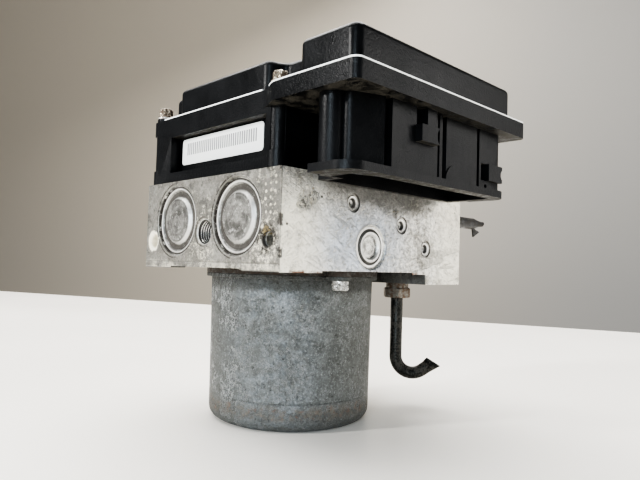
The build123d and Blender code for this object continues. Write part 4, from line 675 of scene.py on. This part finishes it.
# a closed surface from a grid of points, rows by segments, joined round in the second direction;
# rows that shrink to one point are merged into a pole
def skin(name, grid, smoothAngle=35):
    rows, around = grid.shape[:2]
    index = np.arange(rows * around).reshape(rows, around)
    a, b = index[:-1], index[1:]
    quads = np.stack([a, np.roll(a, -1, 1), np.roll(b, -1, 1), b], axis=-1).reshape(-1, 4)
    mesh = bpy.data.meshes.new(name)
    mesh.from_pydata(grid.reshape(-1, 3).tolist(), [], quads.tolist())
    form = bmesh.new()
    form.from_mesh(mesh)
    bmesh.ops.remove_doubles(form, verts=form.verts, dist=0.0005 * mm)
    bmesh.ops.recalc_face_normals(form, faces=form.faces)
    for face in form.faces:
        face.smooth = True
    for edge in form.edges:
        edge.smooth = edge.calc_face_angle(0.0) < math.radians(smoothAngle)
    form.to_mesh(mesh)
    form.free()
    return mesh


# the points at a radius and a height about an axis, for every angle: the origin, plus the radius towards the
# angle, plus the height along the axis; radius, height and angle are whole arrays
def aroundAxis(radius, height, angle, origin, axis, across):
    axis, across = np.asarray(axis, float), np.asarray(across, float)
    side = np.cross(axis, across)
    outwards = np.cos(angle)[..., None] * across + np.sin(angle)[..., None] * side
    return np.asarray(origin, float) + radius[..., None] * outwards + height[..., None] * axis


# the points of a turned form: a profile of radius and height in mm carried round an axis; swell is a
# function of angle and row that scales the radius
def turnedGrid(profile, around, origin, axis, across, swell):
    profile = np.asarray(profile, float) * mm
    angle = np.linspace(0, 2 * np.pi, around, endpoint=False)[None, :]
    radius = profile[:, :1] * swell(angle, np.arange(len(profile))[:, None])
    return aroundAxis(radius, profile[:, 1:], angle, origin, axis, across)


def joined(name, *meshes):  # one object, at the origin, from several meshes
    whole = bmesh.new()
    for mesh in meshes:
        whole.from_mesh(mesh)
    made = bpy.data.meshes.new(name)
    whole.to_mesh(made)
    whole.free()
    piece = bpy.data.objects.new(name, made)
    scene.collection.objects.link(piece)
    return piece


# how a lobed head scales its radius: one plus the lobe's share of a cosine, six times round, on its own rows
def lobedHead(lobe, firstRow, lastRow):
    return lambda angle, row: 1 + lobe * np.cos(6 * angle) * ((row >= firstRow) & (row <= lastRow))


screw = {"flange": 3.1, "head": 2.45, "lobe": 0.11, "tall": 4.0, "shank": 2.0, "socket": 1.15}


# corner screws: a shank, a sloping flange and a lobed head with a small dimple, turned about +Z
def cornerScrews():
    low, high = (np.array(c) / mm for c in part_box("housing_screws"))
    flange, head, top = screw["flange"], screw["head"], high[2]
    seat = top - screw["tall"]
    profile = [(0, low[2]), (screw["shank"], low[2]), (screw["shank"], seat), (flange - 0.15, seat),
               (flange, seat + 0.15), (flange, seat + 0.5), (flange - 0.3, seat + 0.75),
               (head, seat + 0.95), (head, seat + 1.2), (head, top - 0.6), (head - 0.35, top - 0.12),
               (head - 0.7, top), (screw["socket"], top), (screw["socket"] - 0.2, top - 0.45), (0, top - 0.5)]
    span = (high - low) / 2 - flange
    middle = (high + low) / 2
    made = []
    for i, (sx, sy) in enumerate(((-1, -1), (1, -1), (-1, 1), (1, 1))):
        spot = np.array((middle[0] + sx * span[0], middle[1] + sy * span[1], 0)) * mm
        clock = math.radians(11 + 17 * i)  # each screw was tightened to its own angle
        grid = turnedGrid(profile, 72, spot, (0, 0, 1), (math.cos(clock), math.sin(clock), 0),
                          lobedHead(screw["lobe"], 7, 11))
        made.append(skin("cornerScrew", grid))
    stands(joined("cornerScrews", *made), "housing_screws")


motorScrew = {"flange": 3.1, "lobe": 0.17, "head": 2.65, "shank": 2.3, "dimple": 1.3, "clock": 0.5,
              "rim": 1.5}  # the rim is how far the can's flange reaches below its top


# the two motor screws: heads downwards, a flange above a lobed head, and a shank into the block
def motorScrews():
    low, high = (np.array(c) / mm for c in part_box("motor_screws"))
    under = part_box("motor_can")[1][2] / mm - motorScrew["rim"]
    flange, head, shank, down = motorScrew["flange"], motorScrew["head"], motorScrew["shank"], low[2]
    profile = [(0, down + 1.0), (motorScrew["dimple"], down + 1.0), (motorScrew["dimple"] + 0.2, down + 0.1),
               (head - 0.45, down), (head - 0.1, down + 0.35), (head, down + 0.8), (head, under - 1.1),
               (head, under - 0.95), (flange, under - 0.7), (flange, under), (shank, under),
               (shank, high[2]), (0, high[2])]
    reach = (high[:2] - low[:2]) / 2 - flange
    across = (math.cos(motorScrew["clock"]), math.sin(motorScrew["clock"]), 0)
    made = []
    for sign in (1, -1):
        spot = np.array((sign * reach[0], -sign * reach[1], 0)) * mm
        grid = turnedGrid(profile, 72, spot, (0, 0, 1), across, lobedHead(motorScrew["lobe"], 3, 7))
        made.append(skin("motorScrew", grid))
    stands(joined("motorScrewPair", *made), "motor_screws")


nut = {"flats": 11.0, "hex": 4.4, "collar": 2.3, "collarRadius": 4.95, "entry": 5.0, "thread": 4.45,
       "bore": 2.7, "footTurn": math.radians(45), "backTurn": 0.3}


# pipe nut: a hexagon with its corners turned off at both ends, a collar and the thread's core;
# the hexagon's radius is half the flats over the cosine of the angle from the middle of a flat
def pipeNut(name, origin, axis, across):
    half, bore, entry, ring = nut["flats"] / 2, nut["bore"], nut["entry"], nut["collarRadius"]
    start, stop = nut["collar"], nut["collar"] + nut["hex"]
    lower = [(bore, -entry), (nut["thread"], -entry), (nut["thread"], 0), (ring - 0.2, 0), (ring, 0.2),
             (ring, start)]
    cone = [(half - 0.35, start), (half + 0.15, start + 0.12), (half + 0.62, start + 0.55),
            (half + 0.85, start + 0.95), (half + 0.85, stop - 0.8), (half + 0.5, stop - 0.3),
            (half - 0.2, stop)]
    upper = [(bore + 0.55, stop), (bore, stop - 0.4), (bore, -entry)]
    profile = lower + cone + upper
    radii = np.asarray(profile)[:, 0]
    flat = np.pi / 3

    def hexagon(angle, row):  # the rows of the hexagon are cut back to its flats
        apart = np.abs((angle % flat) - flat / 2)
        reach = half / np.cos(flat / 2 - apart)
        inHex = (row >= len(lower)) & (row < len(lower) + len(cone))
        return np.where(inHex, np.minimum(1.0, reach / radii[row]), 1.0)

    return skin(name, turnedGrid(profile, 144, origin, axis, across, hexagon), 28)


def nuts():  # one nut hangs in the foot with its axis down, the other sits in the back face with its axis out
    low, high = (np.array(c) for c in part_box("front_nut"))
    spot = ((low[0] + high[0]) / 2, (low[1] + high[1]) / 2, high[2] - nut["entry"] * mm)
    across = (math.cos(nut["footTurn"]), math.sin(nut["footTurn"]), 0)
    stands(joined("footNut", pipeNut("footNut", spot, (0, 0, -1), across)), "front_nut")
    low, high = (np.array(c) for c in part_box("rear_nut"))
    spot = ((low[0] + high[0]) / 2, low[1] + nut["entry"] * mm, (low[2] + high[2]) / 2)
    across = (math.cos(nut["backTurn"]), 0, math.sin(nut["backTurn"]))
    stands(joined("backNut", pipeNut("backNut", spot, (0, 1, 0), across)), "rear_nut")


# the thread in a port: a sleeve just inside the bore whose radius falls by the crest height once
# for each pitch along the axis, and turns with the angle, so that the crests make one helix
def portThread(origin, axis):
    depth = np.linspace(thread["mouth"], thread["deep"], 140)[:, None]
    angle = np.linspace(0, 2 * np.pi, 96, endpoint=False)[None, :]
    turn = depth / thread["pitch"] + angle / (2 * np.pi)
    crest = 1 - np.abs(2 * (turn % 1.0) - 1)
    fade = np.clip((depth - thread["mouth"]) / 0.8, 0, 1)
    radius = (thread["core"] - 0.02 - thread["crest"] * crest * fade) * mm
    across = (1, 0, 0)
    inside = aroundAxis(radius, depth * -mm, angle, origin, axis, across)
    ends = np.full((2, 96), (thread["core"] + 0.15) * mm)
    outside = aroundAxis(ends, depth[[0, -1]] * -mm, angle, origin, axis, across)
    return skin("thread", np.concatenate([outside[:1], inside, outside[1:], outside[:1]]), 60)


def threads():  # one in the front face, three in the back face and one in the foot
    supply = mounts["supply_port_left"]
    made = [portThread((0, lowBlock.y, mounts["front_port"][2]), (0, -1, 0))]
    made += [portThread((place[0], highBlock.y, place[2]), (0, 1, 0)) for place in wheelPorts]
    made.append(portThread((supply[0], supply[1], lowBlock.z), (0, 0, -1)))
    piece = joined("portThreads", *made)
    piece.data.materials.append(threadFinish)
    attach(piece, "unit")


cornerScrews()
motorScrews()
nuts()
threads()
print("screws, nuts and threads made")

tube = {"radius": 2.7, "pinchHalf": 3.5, "pinchThin": 1.3, "pinch": 4.6, "slant": -24.0, "lip": 0.80,
        "sunk": 0.5}


# a pipe: a round section carried along a path of points that lies in one plane; towards its end the section
# widens in that plane, flattens across it and leans, so the cut end slants
def pipeSkin(name, path, across):
    around = 56
    angle = np.linspace(0, 2 * np.pi, around, endpoint=False)[None, :]
    along = np.gradient(path, axis=0)
    along /= np.linalg.norm(along, axis=1)[:, None]
    outer = np.cross(across[None, :], along)
    run = np.concatenate([[0], np.cumsum(np.linalg.norm(np.diff(path, axis=0), axis=1))])
    squeeze = np.clip((run - run[-1] + tube["pinch"] * mm) / (tube["pinch"] * mm), 0, 1)
    squeeze = (squeeze * squeeze * (3 - 2 * squeeze))[:, None]
    wide = (tube["radius"] + (tube["pinchHalf"] - tube["radius"]) * squeeze) * mm
    thin = (tube["radius"] + (tube["pinchThin"] - tube["radius"]) * squeeze) * mm
    dent = 1 - 0.10 * squeeze * np.cos(2 * angle) ** 2 + 0.03 * squeeze * np.sin(3 * angle + 1.0)
    sideways, flat = wide * np.cos(angle) * dent, thin * np.sin(angle) * dent
    lean = squeeze * math.tan(math.radians(tube["slant"])) * sideways
    ring = path[:, None, :] + sideways[..., None] * outer[:, None, :]
    ring = ring + flat[..., None] * across[None, None, :] + lean[..., None] * along[:, None, :]
    middle = ring[-1].mean(axis=0)
    lip = middle + (ring[-1] - middle) * tube["lip"]
    hollow = lip - along[-1] * tube["sunk"] * mm
    close = np.repeat(hollow.mean(axis=0)[None, :], around, axis=0)
    start = np.repeat(path[0][None, :], around, axis=0)
    return skin(name, np.concatenate([start[None], ring, lip[None], hollow[None], close[None]]), 50)


bend = {"radius": 7.5, "turn": 125.0, "heading": 45.0, "low": 21.6, "tail": 1.8}


# the foot pipe: straight down, round a bend of constant radius away from the unit, and a short tail
def footPipe():
    high = np.array(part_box("front_pipe")[1]) / mm
    nutLow, nutHigh = (np.array(c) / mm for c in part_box("front_nut"))
    start = np.array([(nutLow[0] + nutHigh[0]) / 2, (nutLow[1] + nutHigh[1]) / 2, high[2]])
    heading, last = math.radians(bend["heading"]), math.radians(bend["turn"])
    out = np.array([math.cos(heading), math.sin(heading), 0])
    down = np.array([0, 0, -1.0])
    drop = np.linspace(0, high[2] - bend["low"], 30)[:, None] * down + start
    centre = drop[-1] + out * bend["radius"]
    sweep = np.radians(np.linspace(0, bend["turn"], 40))[1:, None]
    curve = centre + bend["radius"] * (down * np.sin(sweep) - out * np.cos(sweep))
    tail = down * math.cos(last) + out * math.sin(last)
    end = curve[-1] + np.linspace(0, bend["tail"] + tube["pinch"], 24)[1:, None] * tail
    path = np.concatenate([drop, curve, end]) * mm
    stands(joined("footPipe", pipeSkin("footPipe", path, np.cross(down, out))), "front_pipe")


footPipe()
eased("rear_pipe", 0.12)
print("pipes made")

view = {"place": (0.17966, -0.16168, 0.06050), "heading": 135.42, "rise": 2.53, "roll": 1.67,
        "focal": 579.86, "frame": 640, "sensor": 36.0}  # degrees; the focal length and the frame in pixels


# the camera looks along the heading, tipped up by the rise and rolled about its own line of sight
def setTheCamera():
    heading, rise, roll = (math.radians(view[key]) for key in ("heading", "rise", "roll"))
    forward = Vector((math.cos(rise) * math.cos(heading), math.cos(rise) * math.sin(heading), math.sin(rise)))
    side = forward.cross(Vector((0, 0, 1))).normalized()
    up = side.cross(forward)
    rolledSide = side * math.cos(roll) + up * math.sin(roll)
    rolledUp = up * math.cos(roll) - side * math.sin(roll)
    lens = bpy.data.cameras.new("camera")
    lens.sensor_fit = "HORIZONTAL"
    lens.sensor_width = view["sensor"]
    lens.lens = view["focal"] / view["frame"] * view["sensor"]
    lens.clip_start = 0.005
    camera = bpy.data.objects.new("camera", lens)
    scene.collection.objects.link(camera)
    aim = Matrix((rolledSide, rolledUp, -forward)).transposed().to_4x4()
    camera.matrix_world = Matrix.Translation(view["place"]) @ aim
    scene.camera = camera


room = {
    "edgeLeft": (-0.934, 0.155), "edgeRight": (-0.017, 0.505),  # the far edge of the floor runs through these
    "sideways": 3, "near": 5, "floor": (0.97, 0.935, 0.875),
    "gap": 0.9, "wallSideways": 4, "wallLow": -1.5, "wallHigh": 4,
    "wallPaintedLightLeft": (0.66, 0.585, 0.475), "wallPaintedShadeRight": (0.36, 0.345, 0.322),
}


# the floor is a table top that ends in a straight far edge; a wall painted lighter on the left and darker on
# the right, as painted light and shade, stands a gap behind that edge
def setTheRoom():
    a, b = Vector((*room["edgeLeft"], 0)), Vector((*room["edgeRight"], 0))
    edge = (b - a).normalized()
    back = Vector((-edge.y, edge.x, 0))
    left, right = a - edge * room["sideways"], b + edge * room["sideways"]
    corners = [left, right, right - back * room["near"], left - back * room["near"]]
    floorMesh = bpy.data.meshes.new("floor")
    floorMesh.from_pydata([tuple(c) for c in corners], [], [(3, 2, 1, 0)])
    floor = bpy.data.objects.new("floor", floorMesh)
    a, b = a + back * room["gap"], b + back * room["gap"]
    left, right = a - edge * room["wallSideways"], b + edge * room["wallSideways"]
    base, height = Vector((0, 0, room["wallLow"])), Vector((0, 0, room["wallHigh"]))
    corners = [left + base, right + base, right + height, left + height]
    wallMesh = bpy.data.meshes.new("wall")
    wallMesh.from_pydata([tuple(c) for c in corners], [], [(0, 1, 2, 3)])
    wall = bpy.data.objects.new("wall", wallMesh)
    scene.collection.objects.link(floor)
    scene.collection.objects.link(wall)
    floorMesh.materials.append(plainFinish("paleFloor", room["floor"], 0.0, 0.36, 5.0, 0.0, 0.03))
    paint = Finish("wallWithPaintedLight", Roughness=0.85)
    # painted light and shade: the wall's colour runs from light on the left to dark on the right
    across = paint.ramp(paint.part(0), a.x - 0.1, b.x + 0.1)
    paint.set("Base Color", paint.mix(across, room["wallPaintedLightLeft"], room["wallPaintedShadeRight"]))
    wallMesh.materials.append(paint.material)


lights = {
    "sky": {"spot": (-0.36, 0.14, 1.22), "width": 1.5, "power": 37.0, "colour": (1.0, 0.99, 0.97)},
    "side": {"spot": (0.95, 0.85, 0.32), "width": 0.7, "power": 5.6, "colour": (1.0, 0.985, 0.96)},
    "front": {"spot": (-0.42, -1.05, 0.54), "width": 0.11, "power": 8.0, "colour": (1.0, 0.99, 0.97)},
    "low": {"spot": (-1.00, -0.70, 0.45), "width": 0.8, "power": 0.3, "colour": (1.0, 0.97, 0.93)},
    "near": {"spot": (0.56, -0.92, 0.26), "width": 0.25, "power": 6.5, "colour": (0.78, 0.90, 1.0)},
}
surroundings = {"colour": (0.60, 0.62, 0.66, 1.0), "strength": 0.34}
lightsAimAt = Vector((0, 0, 0.06))


def setTheLights():  # square soft lights, each turned to the middle of the unit, in an even grey surrounding
    for name, light in lights.items():
        lamp = bpy.data.lights.new(name, "AREA")
        lamp.size = light["width"]
        lamp.energy = light["power"]
        lamp.color = light["colour"]
        holder = bpy.data.objects.new(name, lamp)
        holder.location = light["spot"]
        holder.rotation_euler = (lightsAimAt - Vector(light["spot"])).to_track_quat("-Z", "Y").to_euler()
        scene.collection.objects.link(holder)
    world = bpy.data.worlds.new("studio")
    world.use_nodes = True
    world.node_tree.nodes["Background"].inputs[0].default_value = surroundings["colour"]
    world.node_tree.nodes["Background"].inputs[1].default_value = surroundings["strength"]
    scene.world = world


setTheCamera()
setTheRoom()
setTheLights()
print("camera, floor and light set")
